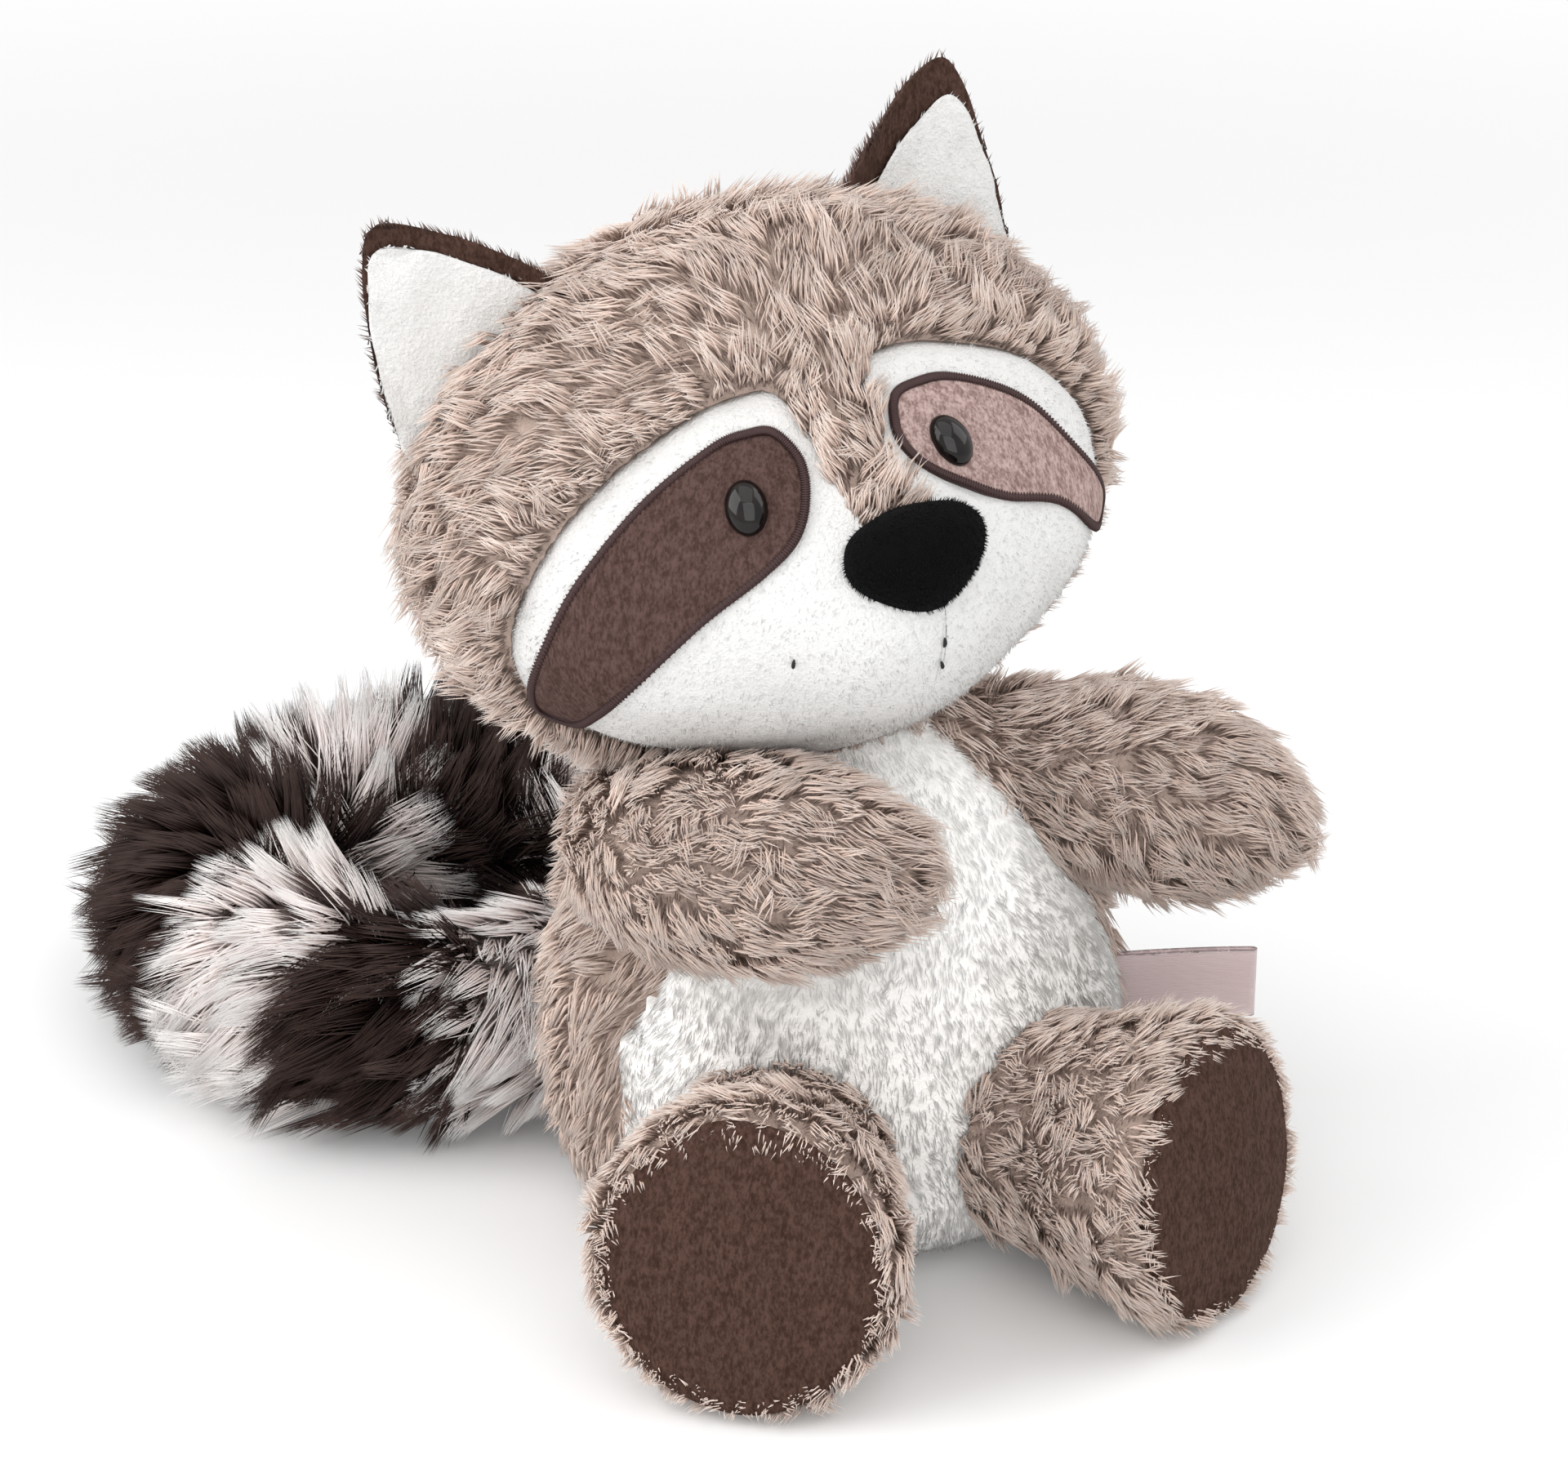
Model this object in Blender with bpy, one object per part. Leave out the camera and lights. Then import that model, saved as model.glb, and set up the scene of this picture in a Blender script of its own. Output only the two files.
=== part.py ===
"""Plush raccoon sitting upright: stuffed head, body, arms, legs and ringed tail.

Metres, +Z up. The raccoon faces -Y, its own left is +X and its seat rests on the floor.
"""

import math
import random

import bmesh
import bpy
from mathutils import Matrix, Vector
from mathutils.bvhtree import BVHTree

# Cloth and pile.
GAP = 0.0003
FUR = 0.008
FACE_PILE = 0.003
PATCH_PILE = 0.001
TRIM_RISE = 0.0018
TRIM_TURN = 2.2
SEAM_TURN = 0.4
TUFT = 0.0026
MERGE = 0.000005

# Head, as half sizes of the stuffing, with its place and turn in degrees.
HEAD_WIDE = 0.0683
HEAD_DEEP = 0.055
HEAD_TALL = 0.0497
HEAD_AT = Vector((-0.0180, 0.0015, 0.1677))
HEAD_YAW = 1.4
HEAD_PITCH = -8.1
HEAD_ROLL = -9.7
SNOUT_OUT = 0.024
SNOUT_WIDE = 0.030
SNOUT_TALL = 0.026
SNOUT_LOW = 0.022
CHEEK_OUT = 0.003
CHEEK_FRONT = 0.007
CHIN_DROP = 0.007
CHIN_WIDE = 0.045
CHEEK_SIDE = 0.050
CHEEK_LOW = 0.026
CHEEK_SPREAD = 0.024

# Seams of the face, as azimuth and elevation in degrees from the middle of the head.
FACE_EDGE = [(4.2, 5), (5.3, 13.5), (7.5, 22.5), (12, 30.5), (22, 30.5), (32, 27.5), (46.5, 19.5), (57, 10.5), (65.5, 2.5),
             (71.5, -5), (77.5, -15), (80, -24), (77, -33), (69, -44), (58, -55), (42, -64), (20, -69)]
PATCH_EDGE = {
    "right": [(10.2, 16.5), (14, 23.1), (19.8, 24.2), (27.7, 22.7), (41.4, 14.8), (54.2, 2.9), (63.8, -8.4), (75, -21.5),
              (66, -26), (50.2, -18.5), (34.2, -8.4), (22, -2.2), (14.8, 2.7), (11, 9.3)],
    "left": [(8.6, 17), (12.6, 22.9), (19.8, 23.6), (27.1, 22), (36, 16.5), (43.3, 9.4), (50, -1.8), (59, -11.5), (71, -21.5),
             (63, -25.5), (48, -16.5), (36.7, -8.1), (24, -3), (15.6, 2.6), (10.4, 7.4), (8.3, 12)],
}

# Nose, eyes and mouth.
NOSE_WIDE = 0.0152
NOSE_TALL = 0.0118
NOSE_DEEP = 0.0095
NOSE_LOW = 0.0050
NOSE_TAPER = 0.16
EYE_WIDE = 0.0042
EYE_TALL = 0.0050
EYE_RISE = 0.0034
EYE_SEAT = 0.0005
EYE_AT = {"right": (22.9, 10.0), "left": (18.3, 10.4)}
STEM = 0.0014
STEM_DEPTH = 0.012
WASHER = 0.0052
WASHER_THICK = 0.0012
THREAD = 0.0004
STITCH = 0.0022

# Ears.
EAR_WIDE = 0.047
EAR_TALL = 0.040
EAR_PUFF = 0.0085
EAR_SHIFT = 0.0012
EAR_RIM = 0.0012
EAR_FRONT = 0.0022
EAR_DISH = 0.007
EAR_OUT = 0.0475
EAR_BACK = 0.003
EAR_BASE = 0.033
EAR_LEAN = 27
EAR_TURN = 14

# Body, as height and half width of the furry outside.
BODY_PROFILE = [(0.0, 0.051), (0.007, 0.0605), (0.022, 0.066), (0.045, 0.067), (0.068, 0.063), (0.091, 0.054),
                (0.113, 0.041), (0.127, 0.020)]
BODY_DEPTH = 0.90
BODY_LEAN = 0.05
BELLY_BACK = -0.008
BELLY_HALF = [(-0.02, 78), (0.055, 77), (0.085, 62), (0.112, 46), (0.16, 40)]

# Limbs: points on the middle line, then half width and half height along it.
ARM_RIGHT = [(-0.032, 0.002, 0.094), (-0.050, -0.023, 0.099), (-0.038, -0.052, 0.105), (-0.008, -0.079, 0.109)]
ARM_LEFT = [(0.022, -0.004, 0.099), (0.041, -0.014, 0.098), (0.064, -0.029, 0.094), (0.092, -0.050, 0.087)]
ARM_SIZE = [(0.0, 0.017), (0.3, 0.0205), (0.6, 0.0245), (0.8, 0.0265), (1.0, 0.0255)]
ARM_SQUASH = 0.95
ARM_END = 0.60
LEG_SIZE = [(0.0, 0.024, 0.026), (0.4, 0.027, 0.028), (0.7, 0.0315, 0.0325), (0.9, 0.0345, 0.0355), (1.0, 0.0325, 0.0335)]
LEG_HIP = (0.0215, -0.036)
LEG_SHIFT = -0.0035
LEG_TURN = 31.5
LEG_LONG = 0.060
LEG_LIFT = 0.030
FOOT_LIFT = 0.0335
FOOT_TILT = 7
SOLE_WIDE = 0.0272
SOLE_TALL = 0.0300
SOLE_THICK = 0.0025
SOLE_DOME = 0.0035

# Tail: points on its middle line, then the radius of its rings of fur.
TAIL_LINE = [(0.008, 0.054), (-0.016, 0.0605), (-0.041, 0.058), (-0.064, 0.054), (-0.086, 0.063), (-0.103, 0.091),
             (-0.107, 0.124), (-0.092, 0.150), (-0.064, 0.163), (-0.034, 0.159), (-0.008, 0.150), (0.014, 0.140)]
TAIL_HEIGHT = 0.0275
TAIL_CORE = 0.015
TAIL_ROOT = 0.10
BAND_ENDS = [0.175, 0.28, 0.41, 0.51, 0.69, 0.77, 0.89, 1.0]
BAND_STEP = 0.085
TAIL_SIZE = [(0.0, 0.021), (0.22, 0.024), (0.4, 0.029), (0.8, 0.031), (1.0, 0.026)]
BAND_FLARE = 0.0045
LOCK_LONG = 0.010
LOCK_SHORT = 0.003

# Label in the left side seam.
LABEL_LONG = 0.027
LABEL_TALL = 0.016
LABEL_THICK = 0.0006
LABEL_FOLD = 0.0012
LABEL_HEIGHT = 0.044
LABEL_AZIMUTH = 72

HEAD_SIDES = 24
HEAD_RINGS = 12
BODY_SIDES = 20
LIMB_SIDES = 12
TAIL_SIDES = 12
EYE_SIDES = 10

FINISHES = {
    "taupe_fur": ((0.40, 0.30, 0.24), 0.95),
    "white_face_plush": ((0.90, 0.89, 0.87), 0.95),
    "white_belly_fur": ((0.88, 0.87, 0.84), 0.95),
    "brown_velour": ((0.095, 0.050, 0.040), 0.85),
    "brown_stitching": ((0.055, 0.026, 0.024), 0.6),
    "black_velvet": ((0.006, 0.006, 0.007), 0.9),
    "black_thread": ((0.010, 0.010, 0.011), 0.6),
    "black_eye_plastic": ((0.006, 0.005, 0.005), 0.08),
    "washer_plastic": ((0.70, 0.70, 0.68), 0.5),
    "polyester_filling": ((0.93, 0.93, 0.92), 1.0),
    "dark_tail_fur": ((0.038, 0.020, 0.016), 0.8),
    "light_tail_fur": ((0.68, 0.60, 0.58), 0.8),
    "label_ribbon": ((0.85, 0.62, 0.70), 0.7),
}


def clear_scene():
    for item in list(bpy.data.objects):
        bpy.data.objects.remove(item, do_unlink=True)


def finish(name):
    found = bpy.data.materials.get(name)
    if found:
        return found
    made = bpy.data.materials.new(name)
    made.use_nodes = True
    colour, rough = FINISHES[name]
    shader = made.node_tree.nodes["Principled BSDF"]
    shader.inputs["Base Color"].default_value = (*colour, 1)
    shader.inputs["Roughness"].default_value = rough
    shader.inputs["Metallic"].default_value = 0
    made.diffuse_color = (*colour, 1)
    return made


def biggest_island(bm):
    """Keeps the largest connected solid and drops crumbs left by a cut."""
    seen = set()
    islands = []
    for start in bm.verts:
        if start in seen:
            continue
        island = []
        queue = [start]
        seen.add(start)
        while queue:
            vert = queue.pop()
            island.append(vert)
            for edge in vert.link_edges:
                other = edge.other_vert(vert)
                if other not in seen:
                    seen.add(other)
                    queue.append(other)
        islands.append(island)
    islands.sort(key=len)
    crumbs = [vert for island in islands[:-1] for vert in island]
    bmesh.ops.delete(bm, geom=crumbs, context="VERTS")


def solid(name, bm, material=None):
    """Makes an object of a bmesh; with a material it is a finished piece, without one a cutter."""
    bmesh.ops.recalc_face_normals(bm, faces=bm.faces)
    mesh = bpy.data.meshes.new(name)
    bm.to_mesh(mesh)
    bm.free()
    made = bpy.data.objects.new(name, mesh)
    if material:
        pieces.objects.link(made)
        mesh.materials.append(finish(material))
    else:
        cutters.objects.link(made)
        made.hide_render = True
        made.display_type = "WIRE"
    return made


def cut(piece, *steps):
    """Runs boolean steps, each an operation and a cutter, and keeps each result as the mesh."""
    for kind, cutter in steps:
        step = piece.modifiers.new(cutter.name, "BOOLEAN")
        step.operation = kind
        step.solver = "EXACT"
        step.object = cutter
        bpy.context.view_layer.update()
        bm = bmesh.new()
        bm.from_object(piece, bpy.context.evaluated_depsgraph_get())
        bmesh.ops.remove_doubles(bm, verts=bm.verts, dist=MERGE)
        bmesh.ops.dissolve_degenerate(bm, edges=bm.edges, dist=MERGE)
        bmesh.ops.triangulate(bm, faces=bm.faces)
        piece.modifiers.clear()
        bm.to_mesh(piece.data)
        bm.free()
    bm = bmesh.new()
    bm.from_mesh(piece.data)
    biggest_island(bm)
    bmesh.ops.recalc_face_normals(bm, faces=bm.faces)
    bm.to_mesh(piece.data)
    bm.free()
    return piece


def blend(table, at):
    """Smooth value at a place along a short table of places and values."""
    if at <= table[0][0]:
        return table[0][1:]
    for low, high in zip(table, table[1:]):
        if at <= high[0]:
            part = (at - low[0]) / (high[0] - low[0])
            part = part * part * (3 - 2 * part)
            return tuple(a + (b - a) * part for a, b in zip(low[1:], high[1:]))
    return table[-1][1:]


def along(points, part):
    """Point on the smooth line through the given points, with part running from 0 to 1."""
    last = len(points) - 1
    place = min(max(part, 0), 1) * last
    first = min(int(place), last - 1)
    t = place - first
    a = points[first - 1] if first else points[0] * 2 - points[1]
    b, c = points[first], points[first + 1]
    d = points[first + 2] if first + 2 <= last else points[last] * 2 - points[last - 1]
    return 0.5 * (b * 2 + (c - a) * t + (a * 2 - b * 5 + c * 4 - d) * t * t + (b * 3 - a - c * 3 + d) * t**3)


def line_frame(points, part):
    """Point, side and up of the line at a place, the up kept near vertical."""
    step = 0.004
    here = along(points, part)
    ahead = (along(points, part + step) - along(points, part - step)).normalized()
    side = ahead.cross(Vector((0, 0, 1))).normalized()
    return here, side, side.cross(ahead), ahead


def ring(centre, side, up, wide, tall, sides, floor=None):
    found = []
    for step in range(sides):
        turn = 2 * math.pi * step / sides
        spot = centre + side * (wide * math.cos(turn)) + up * (tall * math.sin(turn))
        if floor is not None:
            spot.z = max(spot.z, floor)
        found.append(spot)
    return found


def loft(rings, closed=False):
    """Skin through rings of equal count; a ring of one point is a pole."""
    bm = bmesh.new()
    made = [[bm.verts.new(spot) for spot in spots] for spots in rings]
    pairs = list(zip(made, made[1:]))
    if closed:
        pairs.append((made[-1], made[0]))
    for low, high in pairs:
        count = max(len(low), len(high))
        for step in range(count):
            after = (step + 1) % count
            if len(low) == 1:
                bm.faces.new((low[0], high[after], high[step]))
            elif len(high) == 1:
                bm.faces.new((low[step], low[after], high[0]))
            else:
                bm.faces.new((low[step], low[after], high[after], high[step]))
    return bm


def grow(bm, distance):
    bm.normal_update()
    moves = [(vert, vert.normal * distance) for vert in bm.verts]
    for vert, move in moves:
        vert.co += move
    return bm


def ruffle(bm, seed, floor=None):
    """Raises and sinks points at random, so the pile has tufts."""
    chance = random.Random(seed)
    bm.normal_update()
    moves = [(vert, vert.normal * chance.uniform(-TUFT, TUFT) / 2) for vert in bm.verts]
    for vert, move in moves:
        if floor is None or vert.co.z > floor:
            vert.co += move
    return bm


def fluff(rings, seed, floor):
    """Ruffles the points of rings away from or towards their middles, above a height."""
    chance = random.Random(seed)
    for spots in rings:
        middle = sum(spots, Vector()) / len(spots)
        for spot in spots:
            if spot.z > floor:
                spot += (spot - middle).normalized() * chance.uniform(-TUFT, TUFT) / 2
    return rings


head_place = (
    Matrix.Translation(HEAD_AT)
    @ Matrix.Rotation(math.radians(HEAD_YAW), 4, "Z")
    @ Matrix.Rotation(math.radians(HEAD_PITCH), 4, "X")
    @ Matrix.Rotation(math.radians(HEAD_ROLL), 4, "Y")
)


def head_skin(way):
    """Point of the stuffing of the head for a unit direction."""
    x, y, z = HEAD_WIDE * way.x, HEAD_DEEP * way.y, HEAD_TALL * way.z
    snout = math.exp(-((x / SNOUT_WIDE) ** 2) - ((z + SNOUT_LOW) / SNOUT_TALL) ** 2) * max(0, -way.y)
    y -= SNOUT_OUT * snout
    cheek = math.exp(-(((abs(x) - CHEEK_SIDE) / CHEEK_SPREAD) ** 2) - ((z + CHEEK_LOW) / CHEEK_SPREAD) ** 2)
    x += math.copysign(CHEEK_OUT * cheek, x)
    y -= CHEEK_FRONT * cheek * max(0, 0.5 - way.y)
    z -= CHIN_DROP * math.exp(-((x / CHIN_WIDE) ** 2)) * max(0, -way.z) * max(0, 0.4 - way.y)
    return Vector((x, y, z))


def head_form(offset, tufts=False, more=0.0):
    """Head shape grown by an offset, in its place."""
    bm = bmesh.new()
    bmesh.ops.create_uvsphere(bm, u_segments=HEAD_SIDES, v_segments=HEAD_RINGS, radius=1)
    for vert in bm.verts:
        vert.co = head_skin(Vector((vert.co.x, -vert.co.z, vert.co.y)).normalized())
    bmesh.ops.triangulate(bm, faces=bm.faces)
    grow(bm, offset)
    if tufts:
        ruffle(bm, 7)
    if more:
        grow(bm, more)
    bm.transform(head_place)
    return bm


def widen(edge, turn):
    """Moves an outline in degrees outwards by a turn."""
    count = len(edge)
    area = sum(edge[i][0] * edge[(i + 1) % count][1] - edge[(i + 1) % count][0] * edge[i][1] for i in range(count))
    out = []
    for i in range(count):
        before, here, after = Vector(edge[i - 1]), Vector(edge[i]), Vector(edge[(i + 1) % count])
        tangent = ((here - before).normalized() + (after - here).normalized()).normalized()
        normal = Vector((tangent.y, -tangent.x)) * (1 if area > 0 else -1)
        out.append(tuple(here + normal * turn))
    return out


def compass(azimuth, elevation, side=1):
    a, e = math.radians(azimuth), math.radians(elevation)
    return Vector((side * math.sin(a) * math.cos(e), -math.cos(a) * math.cos(e), math.sin(e)))


def cone(name, ways, front):
    """Cutter that opens from the middle of the head through an outline."""
    reach = 0.15
    bm = loft([[Vector((0, 0, 0))], [way * reach for way in ways], [front * reach * 1.7]])
    bm.transform(head_place)
    return solid(name, bm)


def face_cone(name, turn):
    half = widen(FACE_EDGE + [(-a, e) for a, e in reversed(FACE_EDGE)], turn)
    return cone(name, [compass(a, e) for a, e in half], compass(0, -14))


def patch_cone(word, side, turn):
    return cone("patch_opening_" + word, [compass(a, e, side) for a, e in widen(PATCH_EDGE[word], turn)], compass(46, 0, side))


def surface_frame(tree, azimuth, elevation, side):
    """Frame on a surface of the head: point, axis pointing out, side and up."""
    spin = head_place.to_3x3()
    way = spin @ compass(azimuth, elevation, side)
    spot = tree.ray_cast(HEAD_AT + way * 0.2, -way)[0]
    normal = Vector((0, 0, 0))
    for turn, tip in ((-5, 0), (5, 0), (0, -5), (0, 5)):
        near = spin @ compass(azimuth + turn, elevation + tip, side)
        normal += tree.ray_cast(HEAD_AT + near * 0.2, -near)[1]
    normal.normalize()
    across = normal.cross(spin @ Vector((0, 0, 1))).normalized()
    return spot, normal, across, across.cross(normal) * -1


def turned(frame, profile, sides, squash=1.0):
    """Round body about a frame's axis; each profile entry is a radius and a height."""
    spot, axis, across, up = frame
    rings = []
    for radius, height in profile:
        centre = spot + axis * height
        if radius:
            rings.append(ring(centre, across, up, radius * squash, radius, sides))
        else:
            rings.append([centre])
    return loft(rings)


def make_head():
    core = solid("head_filling", head_form(0), "polyester_filling")
    inner = solid("head_inner", head_form(GAP))
    fur = solid("head_fur", head_form(FUR, True), "taupe_fur")
    face = solid("face_panel", head_form(FACE_PILE), "white_face_plush")
    face_cutter = face_cone("face_opening", 0)
    fur_cutter = face_cone("fur_opening", SEAM_TURN)
    cut(fur, ("DIFFERENCE", inner), ("DIFFERENCE", fur_cutter))
    cut(face, ("DIFFERENCE", inner), ("INTERSECT", face_cutter))
    above_face = solid("above_face", head_form(FACE_PILE + GAP))
    patch_tree = BVHTree.FromBMesh(head_form(FACE_PILE + GAP + PATCH_PILE))
    face_tree = BVHTree.FromBMesh(head_form(FACE_PILE))
    for word, side in (("right", -1), ("left", 1)):
        opening = patch_cone(word, side, -TRIM_TURN - 2 * SEAM_TURN)
        patch = solid("eye_patch_" + word, head_form(FACE_PILE + GAP + PATCH_PILE), "brown_velour")
        cut(patch, ("DIFFERENCE", above_face), ("INTERSECT", opening))
        make_trim(word, side, face_tree, above_face)
        make_eye(word, side, patch_tree, (core, face, patch))
    make_nose(face_tree, fur)
    for word, azimuth, elevation, slope in MOUTH:
        make_stitch(word, surface_frame(face_tree, azimuth, elevation, 1), slope)


def make_trim(word, side, tree, above_face):
    """Satin stitching that lies on the face round the patch."""
    low = 2.4 * GAP
    corners = [(-TRIM_TURN, low), (-TRIM_TURN, TRIM_RISE), (0, TRIM_RISE), (0, low)]
    spin = head_place.to_3x3()
    lines = []
    for turn, rise in corners:
        line = []
        edge = widen(PATCH_EDGE[word], turn)
        halves = [(Vector(a) + Vector(b)) / 2 for a, b in zip(edge, edge[1:] + edge[:1])]
        for azimuth, elevation in [spot for pair in zip(edge, halves) for spot in pair]:
            way = spin @ compass(azimuth, elevation, side)
            spot, normal, _, _ = tree.ray_cast(HEAD_AT + way * 0.2, -way)
            line.append(spot + normal * rise)
        lines.append(line)
    trim = solid("eye_patch_trim_" + word, loft(lines, closed=True), "brown_stitching")
    cut(trim, ("DIFFERENCE", above_face))


MOUTH = [("right", -20.7, -15.7, 70), ("upper", 1.9, -15.8, 80), ("lower", 1.4, -19.6, 100)]


def make_eye(word, side, tree, pierced):
    frame = surface_frame(tree, *EYE_AT[word], side)
    shape = [(0, EYE_RISE), (0.45, 0.90), (0.78, 0.62), (0.97, 0.34), (1.0, 0.24)]
    profile = [(radius * EYE_TALL, rise * EYE_RISE if radius else rise) for radius, rise in shape]
    profile += [(EYE_TALL * 0.9, EYE_SEAT), (STEM, EYE_SEAT), (STEM, -STEM_DEPTH), (0, -STEM_DEPTH)]
    solid("eye_" + word, turned(frame, profile, EYE_SIDES, EYE_WIDE / EYE_TALL), "black_eye_plastic")
    spot, axis, across, up = frame
    back = -(PATCH_PILE + FACE_PILE + GAP) - GAP
    hole = STEM + GAP
    washer = [(hole, back), (WASHER, back), (WASHER, back - WASHER_THICK), (hole, back - WASHER_THICK)]
    rings = [ring(spot + axis * height, across, up, radius, radius, EYE_SIDES) for radius, height in washer]
    solid("eye_washer_" + word, loft(rings, closed=True), "washer_plastic")
    peg = [(0, EYE_RISE), (hole, EYE_RISE), (hole, -STEM_DEPTH - GAP), (0, -STEM_DEPTH - GAP)]
    well = back - WASHER_THICK - GAP
    seat = [(0, EYE_RISE), (WASHER + GAP, EYE_RISE), (WASHER + GAP, well), (0, well)]
    peg_cutter = solid("stem_hole_" + word, turned(frame, peg, EYE_SIDES))
    seat_cutter = solid("washer_seat_" + word, turned(frame, seat, EYE_SIDES))
    pocket = [(0, back + GAP), (WASHER + GAP, back + GAP), (WASHER + GAP, well), (0, well)]
    pocket_cutter = solid("washer_pocket_" + word, turned(frame, pocket, EYE_SIDES))
    core, face, patch = pierced
    cut(core, ("DIFFERENCE", peg_cutter), ("DIFFERENCE", seat_cutter))
    cut(face, ("DIFFERENCE", peg_cutter), ("DIFFERENCE", pocket_cutter))
    bed = [(0, EYE_RISE), (EYE_TALL + GAP, EYE_RISE), (EYE_TALL + GAP, EYE_SEAT - GAP), (0, EYE_SEAT - GAP)]
    bed_cutter = solid("eye_bed_" + word, turned(frame, bed, EYE_SIDES))
    cut(patch, ("DIFFERENCE", peg_cutter), ("DIFFERENCE", bed_cutter))


def make_nose(tree, fur):
    spin = head_place.to_3x3()
    way = spin @ Vector((0, -1, 0))
    spot, _, _, _ = tree.ray_cast(head_place @ Vector((0, -0.2, -NOSE_LOW)), -way)
    bm = bmesh.new()
    bmesh.ops.create_uvsphere(bm, u_segments=12, v_segments=7, radius=1)
    for vert in bm.verts:
        x, y, z = vert.co.x, -vert.co.z, vert.co.y
        vert.co = Vector((x * NOSE_WIDE * (1 + NOSE_TAPER * z), y * NOSE_DEEP, z * NOSE_TALL))
    bm.transform(Matrix.Translation(spot) @ spin.to_4x4())
    space = solid("nose_space", grow(bm.copy(), 2 * GAP))
    nose = solid("nose", bm, "black_velvet")
    cut(fur, ("DIFFERENCE", space))
    cut(nose, ("DIFFERENCE", solid("nose_bed", head_form(FACE_PILE + GAP))))


def make_stitch(word, frame, slope):
    spot, axis, across, up = frame
    turn = math.radians(slope)
    way = across * math.cos(turn) + up * math.sin(turn)
    start = spot + axis * (GAP * 2 + THREAD) - way * STITCH / 2
    profile = [(0, 0), (THREAD, THREAD), (THREAD, STITCH - THREAD), (0, STITCH)]
    side = way.cross(axis)
    solid("mouth_stitch_" + word, turned((start, way, side, axis), profile, 8), "black_thread")


def ear_outline(turn):
    """Edge of the ear in its own flat plane: a broad foot, straight sides and a round tip."""
    x, z = math.cos(turn), math.sin(turn)
    if z < 0:
        return x * EAR_WIDE / 2, z * EAR_TALL * 0.22
    narrow = 1 - 0.62 * z**1.15
    return x * EAR_WIDE / 2 * narrow * (1 + 0.25 * z), z * EAR_TALL


def make_ear(word, side, head_clear):
    place = (
        head_place
        @ Matrix.Translation((side * EAR_OUT, EAR_BACK, EAR_BASE))
        @ Matrix.Rotation(math.radians(side * EAR_LEAN), 4, "Y")
        @ Matrix.Rotation(math.radians(side * EAR_TURN), 4, "Z")
    )
    sides = 15

    def layer(scale, depth, shift=0):
        found = []
        for step in range(sides):
            x, z = ear_outline(2 * math.pi * step / sides)
            x += side * shift
            dish = EAR_DISH * (1 - (scale * x / (EAR_WIDE / 2)) ** 2)
            found.append(place @ Vector((scale * x, depth + dish, scale * z)))
        return found

    pole = EAR_DISH
    front = [[place @ Vector((0, pole - EAR_FRONT, 0))], layer(0.55, -EAR_FRONT), layer(0.83, -EAR_FRONT * 0.8, EAR_SHIFT)]
    front += [layer(0.88, -EAR_FRONT * 0.2, EAR_SHIFT), layer(0.88, 0, EAR_SHIFT), layer(0.55, 0)]
    front += [[place @ Vector((0, pole, 0))]]
    near = 3 * GAP
    back = [[place @ Vector((0, pole + near, 0))], layer(0.55, near), layer(0.95, near), layer(1.0, -EAR_RIM)]
    back += [layer(1.05, 0.0010), layer(0.97, EAR_PUFF * 0.6), layer(0.6, EAR_PUFF)]
    back += [[place @ Vector((0, pole + EAR_PUFF, 0))]]
    cut(solid("ear_front_" + word, loft(front), "white_face_plush"), ("DIFFERENCE", head_clear))
    cut(solid("ear_back_" + word, loft(back), "brown_velour"), ("DIFFERENCE", head_clear))


def body_form(inset, tufts=False, more=0.0):
    rings = []
    top = BODY_PROFILE[-1][0]
    for height, half in BODY_PROFILE:
        centre = Vector((0, BODY_LEAN * height, height))
        rings.append(ring(centre, Vector((1, 0, 0)), Vector((0, 1, 0)), half, half * BODY_DEPTH, BODY_SIDES))
    inner = BODY_PROFILE[0][1] * 0.5
    foot = ring(Vector((0, 0, 0)), Vector((1, 0, 0)), Vector((0, 1, 0)), inner, inner * BODY_DEPTH, BODY_SIDES)
    peak = Vector((0, BODY_LEAN * top, top + 0.003))
    bm = loft([[Vector((0, 0, 0))], foot, *rings, [peak]])
    bmesh.ops.triangulate(bm, faces=bm.faces)
    bmesh.ops.recalc_face_normals(bm, faces=bm.faces)
    if tufts:
        ruffle(bm, 11, 0.010)
    if inset or more:
        grow(bm, more - inset)
    return bm


def belly_wedge(name, slack):
    far = 0.14
    rings = []
    for height, half in BELLY_HALF:
        a = math.radians(half)
        tip = BELLY_BACK + slack
        spots = [(0, tip), (-far * math.sin(a), tip - far * math.cos(a)), (-far * 0.9, -far * 1.6)]
        spots += [(far * 0.9, -far * 1.6), (far * math.sin(a), tip - far * math.cos(a))]
        rings.append([Vector((x, y, height)) for x, y in spots])
    bm = loft(rings)
    ends = [edge for edge in bm.edges if edge.is_boundary]
    bmesh.ops.holes_fill(bm, edges=ends, sides=0)
    bmesh.ops.triangulate(bm, faces=bm.faces, quad_method="FIXED")
    return solid(name, bm)


def make_body(head_clear):
    inner = solid("body_inner", body_form(FUR))
    body_clear = solid("body_clear", body_form(0, True, GAP * 1.3))
    belly = solid("belly_panel", body_form(0, True), "white_belly_fur")
    back = solid("back_panel", body_form(0, True), "taupe_fur")
    cut(belly, ("DIFFERENCE", inner), ("INTERSECT", belly_wedge("belly_edge", 0)), ("DIFFERENCE", head_clear))
    cut(back, ("DIFFERENCE", inner), ("DIFFERENCE", belly_wedge("back_edge", GAP * 2)), ("DIFFERENCE", head_clear))
    cut(solid("body_filling", body_form(FUR + GAP), "polyester_filling"), ("DIFFERENCE", head_clear))
    return body_clear


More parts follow.
